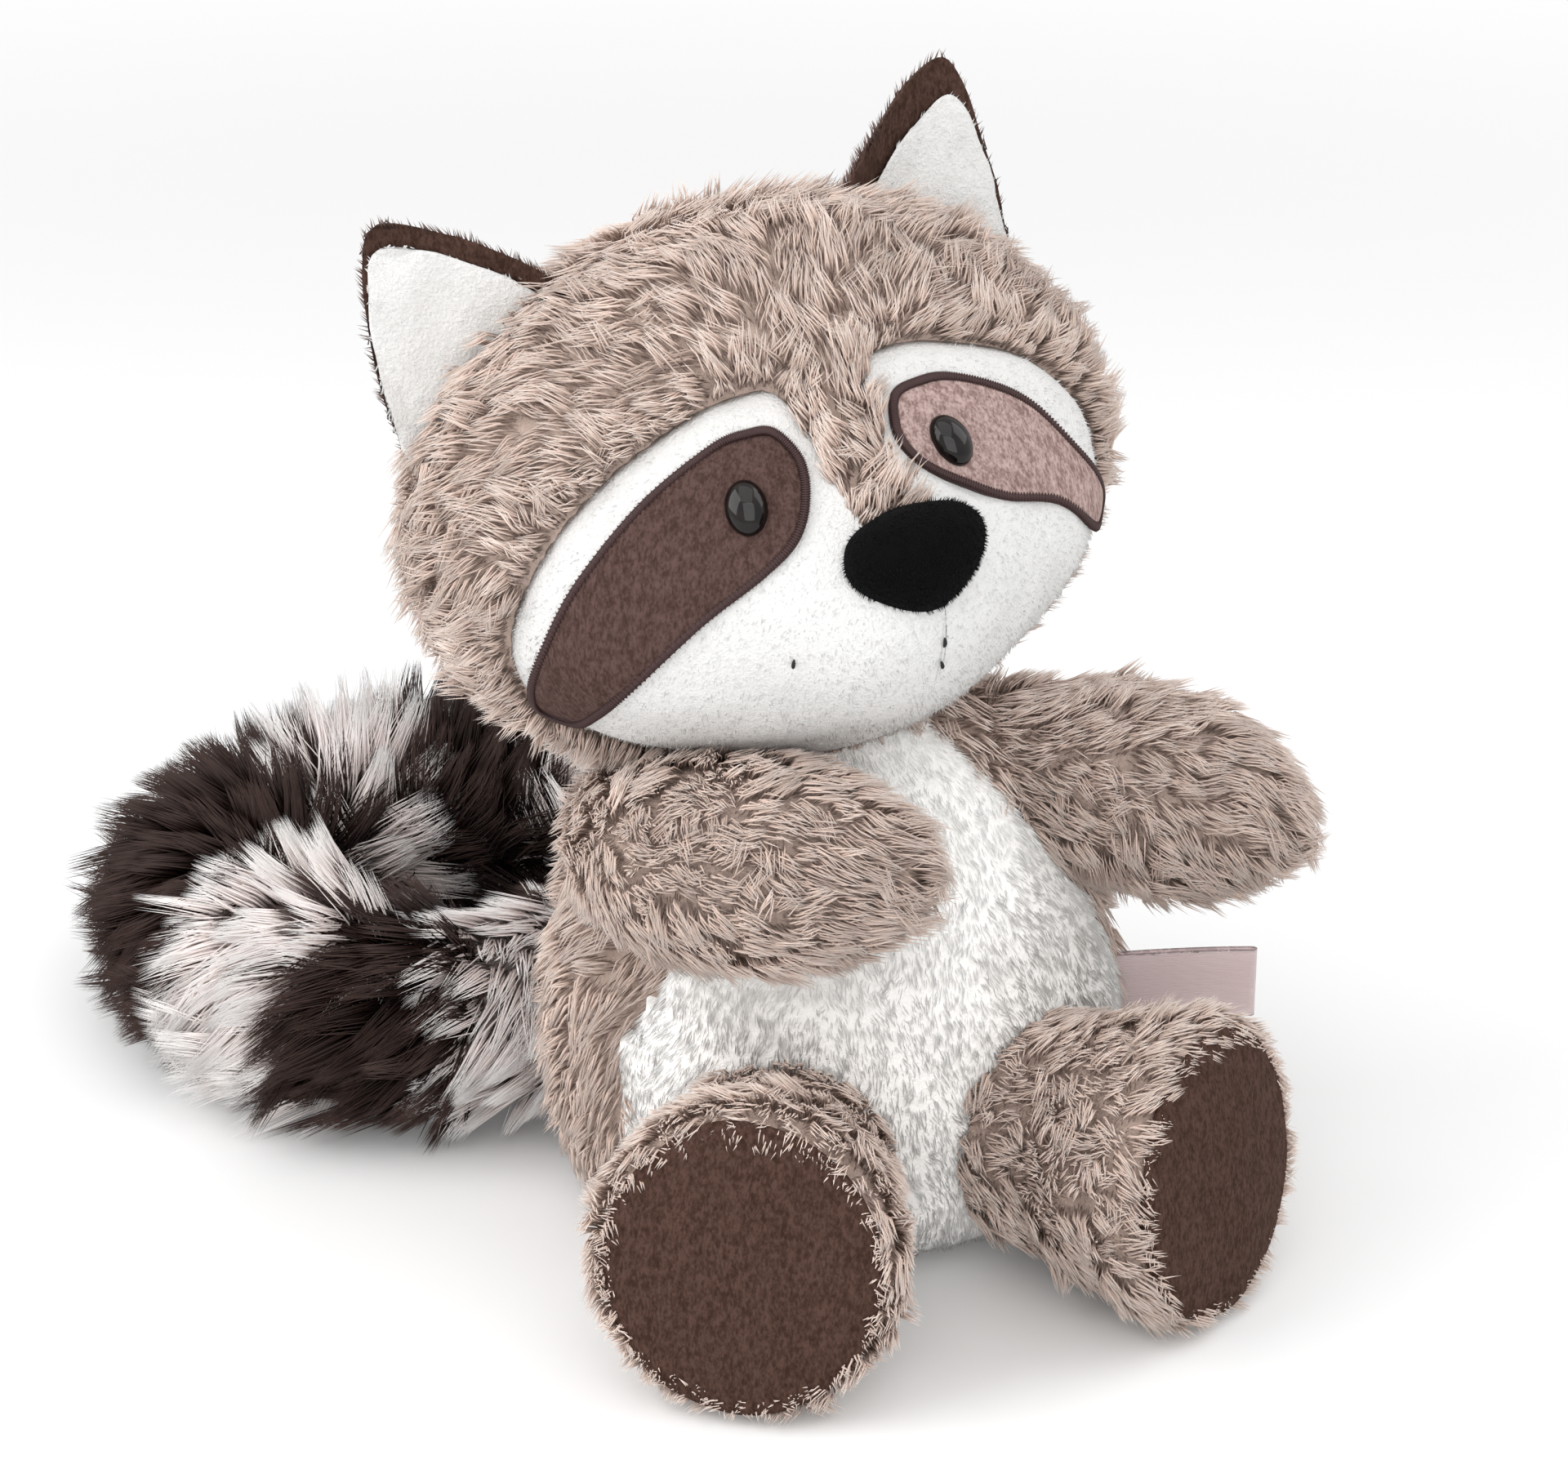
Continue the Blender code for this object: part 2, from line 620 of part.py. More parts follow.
def make_arm(word, points, clears):
    """Fur sleeve closed at the paw and open at the shoulder, with its stuffing."""
    line = [Vector(point) for point in points]
    steps = 8

    def rings(inset):
        found = []
        reach = 1 - inset / (line[-1] - line[0]).length
        for step in range(steps):
            part = reach * math.sin(math.pi / 2 * step / steps)
            here, side, up, _ = line_frame(line, part)
            size = blend(ARM_SIZE, part / reach)[0]
            round_off = max(0, (part / reach - ARM_END) / (1 - ARM_END))
            size = (size - inset) * math.sqrt(1 - round_off**2)
            found.append(ring(here, side, up, size, size * ARM_SQUASH, LIMB_SIDES))
        if inset:
            ahead = line_frame(line, 0)[3]
            found[0] = [spot - ahead * inset / 2 for spot in found[0]]
        found.append([along(line, reach)])
        return found

    def sealed(inset):
        bm = loft(rings(inset))
        ends = [edge for edge in bm.edges if edge.is_boundary]
        bmesh.ops.holes_fill(bm, edges=ends, sides=0)
        bmesh.ops.recalc_face_normals(bm, faces=bm.faces)
        return bm

    outer = ruffle(sealed(0), len(word))
    hollow = sealed(FUR)
    filling = grow(sealed(FUR), -GAP * 1.4)
    hollow = solid("arm_hollow_" + word, hollow)
    away = [("DIFFERENCE", clear) for clear in clears]
    cut(solid("arm_" + word, outer, "taupe_fur"), ("DIFFERENCE", hollow), *away)
    cut(solid("arm_filling_" + word, filling, "polyester_filling"), *away)


def leg_frame(side, part):
    """Middle, side and up of the leg, from hip at 0 to sole at 1."""
    turn = math.radians(LEG_TURN)
    way = Vector((side * math.sin(turn), -math.cos(turn), 0))
    lift = LEG_LIFT + (FOOT_LIFT - LEG_LIFT) * part
    centre = Vector((side * LEG_HIP[0] + LEG_SHIFT, LEG_HIP[1], lift)) + way * (LEG_LONG * part)
    tilt = math.radians(FOOT_TILT) * part
    ahead = way * math.cos(tilt) + Vector((0, 0, math.sin(tilt)))
    across = way.cross(Vector((0, 0, 1))).normalized()
    return centre, across, across.cross(ahead), ahead


def make_leg(word, side, body_clear):
    parts = [0, 0.3, 0.55, 0.75, 0.9, 1.0]
    sides = LIMB_SIDES + 4

    def rings(inset):
        found = []
        for part in parts:
            centre, across, up, _ = leg_frame(side, part)
            wide, tall = blend(LEG_SIZE, part)
            found.append(ring(centre, across, up, wide - inset, tall - inset, sides, inset))
        return found

    def lip(wide, tall, ahead_by, floor):
        centre, across, up, ahead = leg_frame(side, 1)
        return ring(centre + ahead * ahead_by, across, up, wide, tall, sides, floor)

    outer = fluff(rings(0), len(word) + 3, FUR)
    edge = [lip(SOLE_WIDE + FUR * 0.35, SOLE_TALL + FUR * 0.30, FUR * 0.45, 0)]
    edge += [lip(SOLE_WIDE + GAP, SOLE_TALL + GAP, FUR * 0.30, GAP * 2)]
    inner = rings(FUR)[:-1]
    throat = [lip(SOLE_WIDE + GAP, SOLE_TALL + GAP, -SOLE_THICK * 1.6, GAP * 2)]
    sleeve = loft([*outer, *edge, *throat, *reversed(inner)], closed=True)
    cut(solid("leg_" + word, sleeve, "taupe_fur"), ("DIFFERENCE", body_clear))

    filling = rings(FUR + GAP)[:-1]
    front_edge = [lip(SOLE_WIDE - 0.003, SOLE_TALL - 0.003, -SOLE_THICK * 1.8, FUR + GAP)]
    centre, across, up, ahead = leg_frame(side, 1)
    bm = loft([[leg_frame(side, 0)[0]], *filling, *front_edge, [centre - ahead * SOLE_THICK * 1.5]])
    cut(solid("leg_filling_" + word, bm, "polyester_filling"), ("DIFFERENCE", body_clear))

    def disc(scale, ahead_by):
        return lip(SOLE_WIDE * scale, SOLE_TALL * scale, ahead_by, GAP * 4)

    back = -SOLE_THICK
    shape = [[centre + ahead * back], disc(0.6, back), disc(0.97, back), disc(1, back * 0.6), disc(1, -back * 0.2)]
    shape += [disc(0.93, SOLE_DOME * 0.55), disc(0.65, SOLE_DOME * 0.88), [centre + ahead * SOLE_DOME]]
    solid("sole_" + word, loft(shape), "brown_velour")


def between(start, end):
    """Places that split a long stretch of the tail into even shorter ones."""
    count = round((end - start) / BAND_STEP)
    return [start + (end - start) * step / count for step in range(1, count)]


def make_tail(body_clear):
    line = [Vector((x, y, TAIL_HEIGHT)) for x, y in TAIL_LINE]
    starts = [TAIL_ROOT] + BAND_ENDS[:-1]
    length = sum((b - a).length for a, b in zip(line, line[1:]))
    unit = 1 / length

    def fur_ring(part, radius, floor=0.0):
        here, side, up, _ = line_frame(line, part)
        return ring(here, side, up, radius, radius, TAIL_SIDES, floor)

    def lock_ring(part, radius, turn, floor=0.0):
        found = []
        for step in range(TAIL_SIDES):
            angle = 2 * math.pi * step / TAIL_SIDES
            free = min(1, max(0, (math.sin(angle) + 0.75) / 0.5))
            reach = (LOCK_LONG if (step + turn) % 2 else LOCK_SHORT) * free
            here, side, up, _ = line_frame(line, part + reach * unit)
            spot = here + side * (radius * math.cos(angle)) + up * (radius * math.sin(angle))
            spot.z = max(spot.z, floor)
            found.append(spot)
        return found

    root = line_frame(line, 0)[0]
    last = BAND_ENDS[-1] - starts[-1]
    core_end = 1 - 0.6 * last
    middles = [between(start, end) for start, end in zip(starts[:-1], BAND_ENDS)]
    stops = [0, TAIL_ROOT / 2] + sorted(starts + sum(middles, [])) + [core_end]
    core = [[root]] + [fur_ring(stop, TAIL_CORE - 1.4 * GAP) for stop in stops]
    core.append([line_frame(line, core_end + TAIL_CORE * 0.5 * unit)[0]])
    cut(solid("tail_filling", loft(core), "polyester_filling"), ("DIFFERENCE", body_clear))

    for band, end in enumerate(BAND_ENDS):
        start = starts[band] + GAP * unit
        full = blend(TAIL_SIZE, end)[0]
        thin = blend(TAIL_SIZE, start)[0] - BAND_FLARE
        next_thin = full - BAND_FLARE
        colour = "light_tail_fur" if band % 2 else "dark_tail_fur"
        name = "tail_band_%d" % (band + 1)
        if end < 1:
            rings = [fur_ring(start, TAIL_CORE), fur_ring(start, thin)]
            rings += [fur_ring(stop, (thin + full) / 2) for stop in middles[band]]
            rings += [fur_ring(end - 0.002 * unit, full), lock_ring(end, full + GAP, band)]
            rings += [fur_ring(end, next_thin + GAP * 4, GAP), fur_ring(end, TAIL_CORE)]
            rings += [fur_ring(stop, TAIL_CORE) for stop in reversed(middles[band])]
            tail = solid(name, loft(rings, closed=True), colour)
        else:
            close = 1 - last * 0.2
            rings = [[line_frame(line, core_end + (TAIL_CORE * 0.5 + GAP * 2) * unit)[0]]]
            rings += [fur_ring(core_end + GAP * 2 * unit, TAIL_CORE), fur_ring(start, TAIL_CORE), fur_ring(start, thin)]
            rings += [fur_ring((start + end) / 2, full), fur_ring(close, full * 0.75), [line_frame(line, 1)[0]]]
            tail = solid(name, loft(rings), colour)
        if band < 4:
            cut(tail, ("DIFFERENCE", body_clear))


def make_label(body_clear):
    """Ribbon folded double, with its loose ends in the side seam."""
    a = math.radians(LABEL_AZIMUTH)
    way = Vector((math.sin(a), -math.cos(a), 0))
    across = Vector((math.cos(a), math.sin(a), 0))
    start = BODY_PROFILE[3][1] * 0.93
    end = BODY_PROFILE[3][1] + LABEL_LONG
    half = LABEL_FOLD / 2 + LABEL_THICK

    def outline(half_width, reach, turns):
        spots = [(start, -half_width)]
        for step in range(turns + 1):
            angle = math.pi * (step / turns - 0.5)
            spots.append((reach - half + half_width * math.cos(angle), half_width * math.sin(angle)))
        spots.append((start, half_width))
        return spots

    path = outline(half, end, 6) + list(reversed(outline(LABEL_FOLD / 2, end, 6)))
    low = LABEL_HEIGHT - LABEL_TALL / 2
    bm = bmesh.new()
    spots = [bm.verts.new(way * out + across * wide + Vector((0, 0, low))) for out, wide in path]
    face = bm.faces.new(spots)
    raised = bmesh.ops.extrude_face_region(bm, geom=[face])["geom"]
    moved = [item for item in raised if isinstance(item, bmesh.types.BMVert)]
    bmesh.ops.translate(bm, verts=moved, vec=(0, 0, LABEL_TALL))
    cut(solid("label", bm, "label_ribbon"), ("DIFFERENCE", body_clear))


def settle():
    """Puts the middle of the footprint of the whole toy at the origin."""
    low = Vector((1, 1, 1))
    high = Vector((-1, -1, -1))
    for item in pieces.objects:
        for vert in item.data.vertices:
            low = Vector(map(min, low, vert.co))
            high = Vector(map(max, high, vert.co))
    shift = Matrix.Translation((-(low.x + high.x) / 2, -(low.y + high.y) / 2, -low.z))
    for item in pieces.objects:
        item.data.transform(shift)


clear_scene()
pieces = bpy.data.collections.new("plush_raccoon")
cutters = bpy.data.collections.new("cutters")
bpy.context.scene.collection.children.link(pieces)
bpy.context.scene.collection.children.link(cutters)
make_head()
near_head = solid("near_head", head_form(FUR, True, GAP * 1.3))
make_ear("right", -1, near_head)
make_ear("left", 1, near_head)
near_body = make_body(near_head)
make_arm("right", ARM_RIGHT, (near_body, near_head))
make_arm("left", ARM_LEFT, (near_body, near_head))
make_leg("right", -1, near_body)
make_leg("left", 1, near_body)
make_tail(near_body)
make_label(near_body)
settle()
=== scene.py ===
"""Looks of the plush raccoon: fur coats, face plush, velour, satin stitching, eyes, nose and label.

Everything is built in metres in the raccoon's own frame, where it faces -Y with the middle of its
seat at the origin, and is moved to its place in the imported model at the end.
"""

import math

import bmesh
import bpy
import numpy as np
from mathutils import Matrix, Vector
from mathutils.bvhtree import BVHTree
from mathutils.kdtree import KDTree


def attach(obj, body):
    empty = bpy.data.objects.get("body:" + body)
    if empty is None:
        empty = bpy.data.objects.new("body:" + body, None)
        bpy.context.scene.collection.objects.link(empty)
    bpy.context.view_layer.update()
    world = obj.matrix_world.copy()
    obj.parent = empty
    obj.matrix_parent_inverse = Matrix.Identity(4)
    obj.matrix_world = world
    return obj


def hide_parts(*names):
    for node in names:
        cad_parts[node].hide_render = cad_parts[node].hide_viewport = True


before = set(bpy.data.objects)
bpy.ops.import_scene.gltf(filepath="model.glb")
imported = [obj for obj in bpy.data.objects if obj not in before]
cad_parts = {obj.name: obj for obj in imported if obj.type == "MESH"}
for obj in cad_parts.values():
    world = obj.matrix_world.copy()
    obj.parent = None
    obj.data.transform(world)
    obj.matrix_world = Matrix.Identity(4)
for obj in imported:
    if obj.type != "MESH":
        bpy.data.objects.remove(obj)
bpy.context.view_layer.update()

SEAT = Vector((0.0204, -0.0438, 0.0))

# Hair never goes lower than this.
FLOOR = 0.0003

# Head, as half sizes of the stuffing, with its place and turn in degrees.
HEAD_HALF = (0.0683, 0.055, 0.0497)
HEAD_AT = Vector((-0.0180, 0.0015, 0.1677))
HEAD_TURN = (1.4, -8.1, -9.7)
SNOUT_OUT = 0.024
SNOUT_WIDE = 0.030
SNOUT_TALL = 0.026
SNOUT_LOW = 0.022
CHEEK_OUT = 0.003
CHEEK_FRONT = 0.007
CHEEK_SIDE = 0.050
CHEEK_LOW = 0.026
CHEEK_SPREAD = 0.024
CHIN_DROP = 0.007
CHIN_WIDE = 0.045
FACE_PILE = 0.003
PATCH_PILE = 0.0012

# Seams of the face, as azimuth and elevation in degrees from the middle of the head.
FACE_TOP = [(5.0, 1), (5.8, 13.5), (7.8, 23.5), (12, 32), (22, 32.4), (32.4, 29.4), (47.5, 20.8), (58, 11.3)]
FACE_LOW = [(58, -55), (42, -64), (20, -69)]
FACE_SIDE = {
    "right": [(65.5, 2.5), (71.5, -5), (77.5, -15), (80, -24), (77, -33), (69, -44)],
    "left": [(64, 3), (68, -5), (71.5, -15), (73, -24), (71.5, -33), (66, -44)],
}
FACE_MIDDLE = (0, -30)
PATCH_EDGE = {
    "right": [(10.2, 16.5), (14, 23.1), (19.8, 24.2), (27.7, 22.7), (41.4, 14.8), (54.2, 2.9), (63.8, -8.4),
              (72.5, -17.5), (76.3, -23), (74, -26.2), (67, -27.2), (59, -23.6), (50.2, -18.5), (34.2, -8.4),
              (22, -2.2), (14.8, 2.7), (11, 9.3)],
    "left": [(8.6, 17), (12.6, 22.9), (19.8, 23.6), (27.1, 22), (36, 16.5), (43.3, 9.4), (50, -1.8),
             (59, -11.5), (63, -16.2), (58.5, -19.3), (48, -16.2), (36.7, -8.1), (24, -3), (15.6, 2.6),
             (10.4, 7.4), (8.3, 12)],
}
PATCH_MIDDLE = {"right": (38, 2), "left": (34, 2)}
TRIM_TURN = 2.2

# Hairs of the head for each square millimetre, with more of them within a few degrees of the face's seam.
HEAD_HAIRS = 0.68
SEAM_HAIRS = 1.5
SEAM_REACH = 4.5

# Nose, eyes, mouth.
NOSE_HALF = (0.0144, 0.0095, 0.0108)
NOSE_LOW = 0.0046
NOSE_ASIDE = 0.0020
NOSE_TAPER = 0.22
EYE_HALF = (0.0042, 0.0056)
EYE_RISE = 0.0034
EYE_AT = {"right": (22.9, 10.0), "left": (18.3, 10.4)}
THREAD = 0.0004
STITCH = 0.0022
MOUTH = [("right", -20.7, -15.7, 70), ("upper", 1.9, -15.8, 80), ("lower", 1.4, -19.6, 100)]

# Ears.
EAR_WIDE = 0.047
EAR_TALL = 0.040
EAR_PUFF = 0.0085
EAR_DISH = 0.007
EAR_OUT = 0.0475
EAR_BACK = 0.003
EAR_BASE = 0.033
EAR_LEAN = 27
EAR_TURN = 14
EAR_FRONT = {"right": (0.94, 0.0022), "left": (0.86, 0.0036)}

# Body, as height and half width of the furry outside.
BODY_PROFILE = [(0.0, 0.0), (0.0, 0.051), (0.007, 0.0605), (0.022, 0.066), (0.045, 0.067), (0.068, 0.063),
                (0.091, 0.054), (0.113, 0.041), (0.127, 0.020), (0.130, 0.0)]
BODY_DEPTH = 0.90
BODY_LEAN = 0.05
BELLY_BACK = -0.008

# How far the backing cloths lie under the furry outside.
SLEEVE_DEEP = 0.0045
BACK_DEEP = 0.0048
BELLY_DEEP = 0.0020
BELLY_BACK_DEEP = 0.0075
BODY_DEEP = 0.0030

# Half turn that the belly takes at each height, in degrees.
BELLY_HALF = [(-0.02, 78), (0.055, 77), (0.085, 62), (0.112, 46), (0.16, 40)]

# Limbs: points on the middle line, then half width and half height along it.
ARM_LINE = {
    "right": [(-0.032, 0.002, 0.094), (-0.050, -0.023, 0.099), (-0.038, -0.052, 0.105), (-0.008, -0.079, 0.109)],
    "left": [(0.022, -0.004, 0.099), (0.041, -0.014, 0.098), (0.064, -0.029, 0.094), (0.092, -0.050, 0.087)],
}
ARM_SIZE = [(0.0, 0.017), (0.3, 0.0205), (0.6, 0.0245), (0.8, 0.0265), (1.0, 0.0255)]
ARM_SQUASH = 0.95
ARM_END = 0.60
LEG_SIZE = [(0.0, 0.024, 0.026), (0.4, 0.027, 0.028), (0.7, 0.0315, 0.0325), (0.9, 0.0345, 0.0355),
            (1.0, 0.0325, 0.0335)]
LEG_HIP = (0.0215, -0.036)
LEG_SHIFT = -0.0035
LEG_TURN = 31.5
LEG_LONG = 0.060
LEG_LIFT = 0.030
FOOT_LIFT = 0.0335
FOOT_TILT = 7
SOLE_HALF = (0.0272, 0.0300)
SOLE_THICK = 0.0025
SOLE_DOME = 0.0042
SOLE_PILE = 1.05

# Tail: points on its middle line, then the radius of its rings of fur.
TAIL_LINE = [(0.008, 0.054), (-0.016, 0.0605), (-0.041, 0.058), (-0.064, 0.054), (-0.086, 0.063), (-0.103, 0.091),
             (-0.107, 0.124), (-0.092, 0.150), (-0.064, 0.163), (-0.034, 0.159), (-0.008, 0.150), (0.014, 0.140)]
TAIL_HEIGHT = 0.0275
TAIL_ROOT = 0.10
BAND_ENDS = [0.175, 0.28, 0.41, 0.51, 0.69, 0.77, 0.89, 1.0]
TAIL_SIZE = [(0.0, 0.021), (0.22, 0.024), (0.4, 0.029), (0.8, 0.031), (1.0, 0.026)]
TAIL_BACKING = 0.0155
TAIL_WISP = 0.003

# How tail hair lies along the tail: place, then share towards its tip, away from the curl and upwards.
TAIL_COMB = [(0.0, 1.0, 0.6, -0.4), (0.32, 1.0, 0.7, -0.4), (0.42, 0.3, 1.0, -0.3), (0.52, -0.35, 1.0, -0.1),
             (0.60, -0.2, 1.0, 0.1), (0.70, 0.35, 1.0, 0.4), (1.0, 0.2, 1.0, 0.5)]
TAIL_LIFT = [(0.0, 0.40), (0.35, 0.44), (0.5, 0.58), (1.0, 0.62)]

# How far the roots of each ring start before it, so that their swept tips show it in its place, and how far
# the last ring's roots stop short of the tail's tip.
TAIL_SWEEP = [(0.0, 0.004), (0.175, -0.002), (0.28, -0.003), (0.41, 0.008), (0.51, 0.014), (0.69, 0.002),
              (0.77, 0.002), (1.0, 0.0)]
TIP_SHORT = 0.014

# Label in the left side seam.
LABEL_LONG = 0.027
LABEL_TALL = 0.016
LABEL_THICK = 0.0005
LABEL_FOLD = 0.0012
LABEL_HEIGHT = 0.044
LABEL_AZIMUTH = 72

SIDES = {"right": -1, "left": 1}

# The hair map: columns for the tones of the locks, and root to tip upwards.
TONES = 12
HAIR_MAP = "OFBake"

# About how wide the regions are in which the locks swing the same way.
LOCK_REGION = 0.02


# ---------------------------------------------------------------- shapes of the raccoon


def blend(table, at):
    """Smooth value at a place along a short table of places and values."""
    if at <= table[0][0]:
        return table[0][1:]
    for low, high in zip(table, table[1:]):
        if at <= high[0]:
            part = (at - low[0]) / (high[0] - low[0])
            part = part * part * (3 - 2 * part)
            return tuple(a + (b - a) * part for a, b in zip(low[1:], high[1:]))
    return table[-1][1:]


def along(points, part, closed=False):
    """Point on the smooth line through the given points, with part running from 0 to 1."""
    count = len(points)
    last = count if closed else count - 1
    place = part % 1 * last if closed else min(max(part, 0), 1) * last
    first = min(int(place), last - 1)
    t = place - first
    if closed:
        a, b, c, d = (Vector(points[(first + step) % count]) for step in (-1, 0, 1, 2))
    else:
        b, c = Vector(points[first]), Vector(points[first + 1])
        a = Vector(points[first - 1]) if first else b * 2 - c
        d = Vector(points[first + 2]) if first + 2 <= last else c * 2 - b
    return 0.5 * (b * 2 + (c - a) * t + (a * 2 - b * 5 + c * 4 - d) * t * t + (b * 3 - a - c * 3 + d) * t**3)


def line_frame(points, part):
    """Point, side, up and ahead of a line at a place, the up kept near vertical."""
    step = 0.004
    ahead = (along(points, part + step) - along(points, part - step)).normalized()
    side = ahead.cross(Vector((0, 0, 1))).normalized()
    return along(points, part), side, side.cross(ahead), ahead


head_place = (
    Matrix.Translation(HEAD_AT)
    @ Matrix.Rotation(math.radians(HEAD_TURN[0]), 4, "Z")
    @ Matrix.Rotation(math.radians(HEAD_TURN[1]), 4, "X")
    @ Matrix.Rotation(math.radians(HEAD_TURN[2]), 4, "Y")
)


def head_skin(way):
    """Point of the stuffing of the head for a unit direction."""
    x, y, z = HEAD_HALF[0] * way.x, HEAD_HALF[1] * way.y, HEAD_HALF[2] * way.z
    snout = math.exp(-((x / SNOUT_WIDE) ** 2) - ((z + SNOUT_LOW) / SNOUT_TALL) ** 2) * max(0, -way.y)
    y -= SNOUT_OUT * snout
    cheek = math.exp(-(((abs(x) - CHEEK_SIDE) / CHEEK_SPREAD) ** 2) - ((z + CHEEK_LOW) / CHEEK_SPREAD) ** 2)
    x += math.copysign(CHEEK_OUT * cheek, x)
    y -= CHEEK_FRONT * cheek * max(0, 0.5 - way.y)
    z -= CHIN_DROP * math.exp(-((x / CHIN_WIDE) ** 2)) * max(0, -way.z) * max(0, 0.4 - way.y)
    return Vector((x, y, z))


def compass(azimuth, elevation, side=1):
    a, e = math.radians(azimuth), math.radians(elevation)
    return Vector((side * math.sin(a) * math.cos(e), -math.cos(a) * math.cos(e), math.sin(e)))


def head_out(way):
    """Way out of the stuffing of the head at the point for a unit direction."""
    step = 0.02
    helper = Vector((0, 0, 1)) if abs(way.z) < 0.9 else Vector((1, 0, 0))
    right = helper.cross(way).normalized()
    up = way.cross(right)
    across = head_skin((way + right * step).normalized()) - head_skin((way - right * step).normalized())
    rising = head_skin((way + up * step).normalized()) - head_skin((way - up * step).normalized())
    return across.cross(rising).normalized()


def head_frame(way, rise):
    """Point above the stuffing that lies in a unit direction from the middle of the head, with its way out."""
    aim = way
    for _ in range(5):
        out = head_out(aim)
        spot = head_skin(aim) + out * rise
        aim = (aim + way - spot.normalized()).normalized()
    return head_place @ spot, head_place.to_3x3() @ out


def widen(edge, turn):
    """Moves an outline in degrees outwards by a turn."""
    count = len(edge)
    area = sum(edge[i][0] * edge[(i + 1) % count][1] - edge[(i + 1) % count][0] * edge[i][1] for i in range(count))
    out = []
    for i in range(count):
        before, here, after = Vector(edge[i - 1]), Vector(edge[i]), Vector(edge[(i + 1) % count])
        tangent = ((here - before).normalized() + (after - here).normalized()).normalized()
        normal = Vector((tangent.y, -tangent.x)) * (1 if area > 0 else -1)
        out.append(tuple(here + normal * turn))
    return out


def face_outline():
    left, right = (FACE_TOP + FACE_SIDE[word] + FACE_LOW for word in ("left", "right"))
    return left + [(-a, e) for a, e in reversed(right)]


def body_skin(way):
    """Point on the furry outside of the body for a unit direction."""
    part = math.acos(max(-1, min(1, -way.z))) / math.pi * body_run[-1]
    step = next(i for i in range(1, len(body_run)) if part <= body_run[i] + 1e-9)
    share = (part - body_run[step - 1]) / (body_run[step] - body_run[step - 1])
    low, high = body_path[step - 1], body_path[step]
    height, half = low[0] + (high[0] - low[0]) * share, low[1] + (high[1] - low[1]) * share
    turn = math.atan2(way.y, way.x)
    return Vector((half * math.cos(turn), half * BODY_DEPTH * math.sin(turn) + BODY_LEAN * height, height))


def softened(path, times):
    """Rounds the corners of a short outline by cutting them, keeping its ends."""
    for _ in range(times):
        fresh = [path[0]]
        for low, high in zip(path, path[1:]):
            fresh.append(tuple(a * 0.75 + b * 0.25 for a, b in zip(low, high)))
            fresh.append(tuple(a * 0.25 + b * 0.75 for a, b in zip(low, high)))
        path = fresh + [path[-1]]
    return path


body_path = softened(BODY_PROFILE, 2)
body_run = [0.0]
for low_spot, high_spot in zip(body_path, body_path[1:]):
    body_run.append(body_run[-1] + math.dist(low_spot, high_spot))


def poles(way):
    """Share of the way from the upper pole of a ball to its lower one, and the turn about them."""
    return math.acos(max(-1, min(1, way.z))) / math.pi, math.atan2(way.y, way.x)


def arm_skin(line, inset):
    """Shape of an arm, from its shoulder at the upper pole to the tip of its paw at the lower one."""
    reach = 1 - inset / (Vector(line[-1]) - Vector(line[0])).length
    cap = 0.10

    def skin(way):
        place, turn = poles(way)
        run = max(0, (place - cap) / (1 - cap))
        part = reach * math.sin(math.pi / 2 * run)
        here, side, up, _ = line_frame(line, part)
        size = blend(ARM_SIZE, part / reach)[0]
        round_off = min(1, max(0, (part / reach - ARM_END) / (1 - ARM_END)))
        size = (size - inset) * math.sqrt(1 - round_off**2) * math.sin(math.pi / 2 * min(1, place / cap))
        return here + side * (size * math.cos(turn)) + up * (size * ARM_SQUASH * math.sin(turn))

    return skin


def leg_frame(side, part):
    """Middle, side, up and ahead of the leg, from hip at 0 to sole at 1."""
    turn = math.radians(LEG_TURN)
    way = Vector((side * math.sin(turn), -math.cos(turn), 0))
    lift = LEG_LIFT + (FOOT_LIFT - LEG_LIFT) * part
    centre = Vector((side * LEG_HIP[0] + LEG_SHIFT, LEG_HIP[1], lift)) + way * (LEG_LONG * part)
    tilt = math.radians(FOOT_TILT) * part
    ahead = way * math.cos(tilt) + Vector((0, 0, math.sin(tilt)))
    across = way.cross(Vector((0, 0, 1))).normalized()
    return centre, across, across.cross(ahead), ahead


def leg_skin(side, inset):
    """Shape of a leg, from its hip at the upper pole to the middle of its sole at the lower one."""
    stops = [(0.0, -0.10, 0.0, 0.0), (0.12, 0.0, 1.0, 0.0), (0.70, 0.98, 1.0, 0.0), (0.78, 1.0, 0.97, -0.0006),
             (0.84, 1.0, 0.86, -0.0006), (0.90, 1.0, 0.80, -0.002), (1.0, 1.0, 0.0, -0.002)]

    def skin(way):
        place, turn = poles(way)
        low, high = next((a, b) for a, b in zip(stops, stops[1:]) if place <= b[0] + 1e-9)
        share = (place - low[0]) / (high[0] - low[0])
        part, size, ahead_by = (a + (b - a) * share for a, b in zip(low[1:], high[1:]))
        if place < 0.12:
            size = math.sin(math.pi / 2 * share)
        centre, across, up, ahead = leg_frame(side, part)
        wide, tall = blend(LEG_SIZE, part)
        spot = centre + ahead * ahead_by
        spot += across * ((wide - inset) * size * math.cos(turn)) + up * ((tall - inset) * size * math.sin(turn))
        spot.z = max(spot.z, inset * 0.4)
        return spot

    return skin


tail_line = [(x, y, TAIL_HEIGHT) for x, y in TAIL_LINE]
tail_long = sum(math.dist(a, b) for a, b in zip(tail_line, tail_line[1:]))


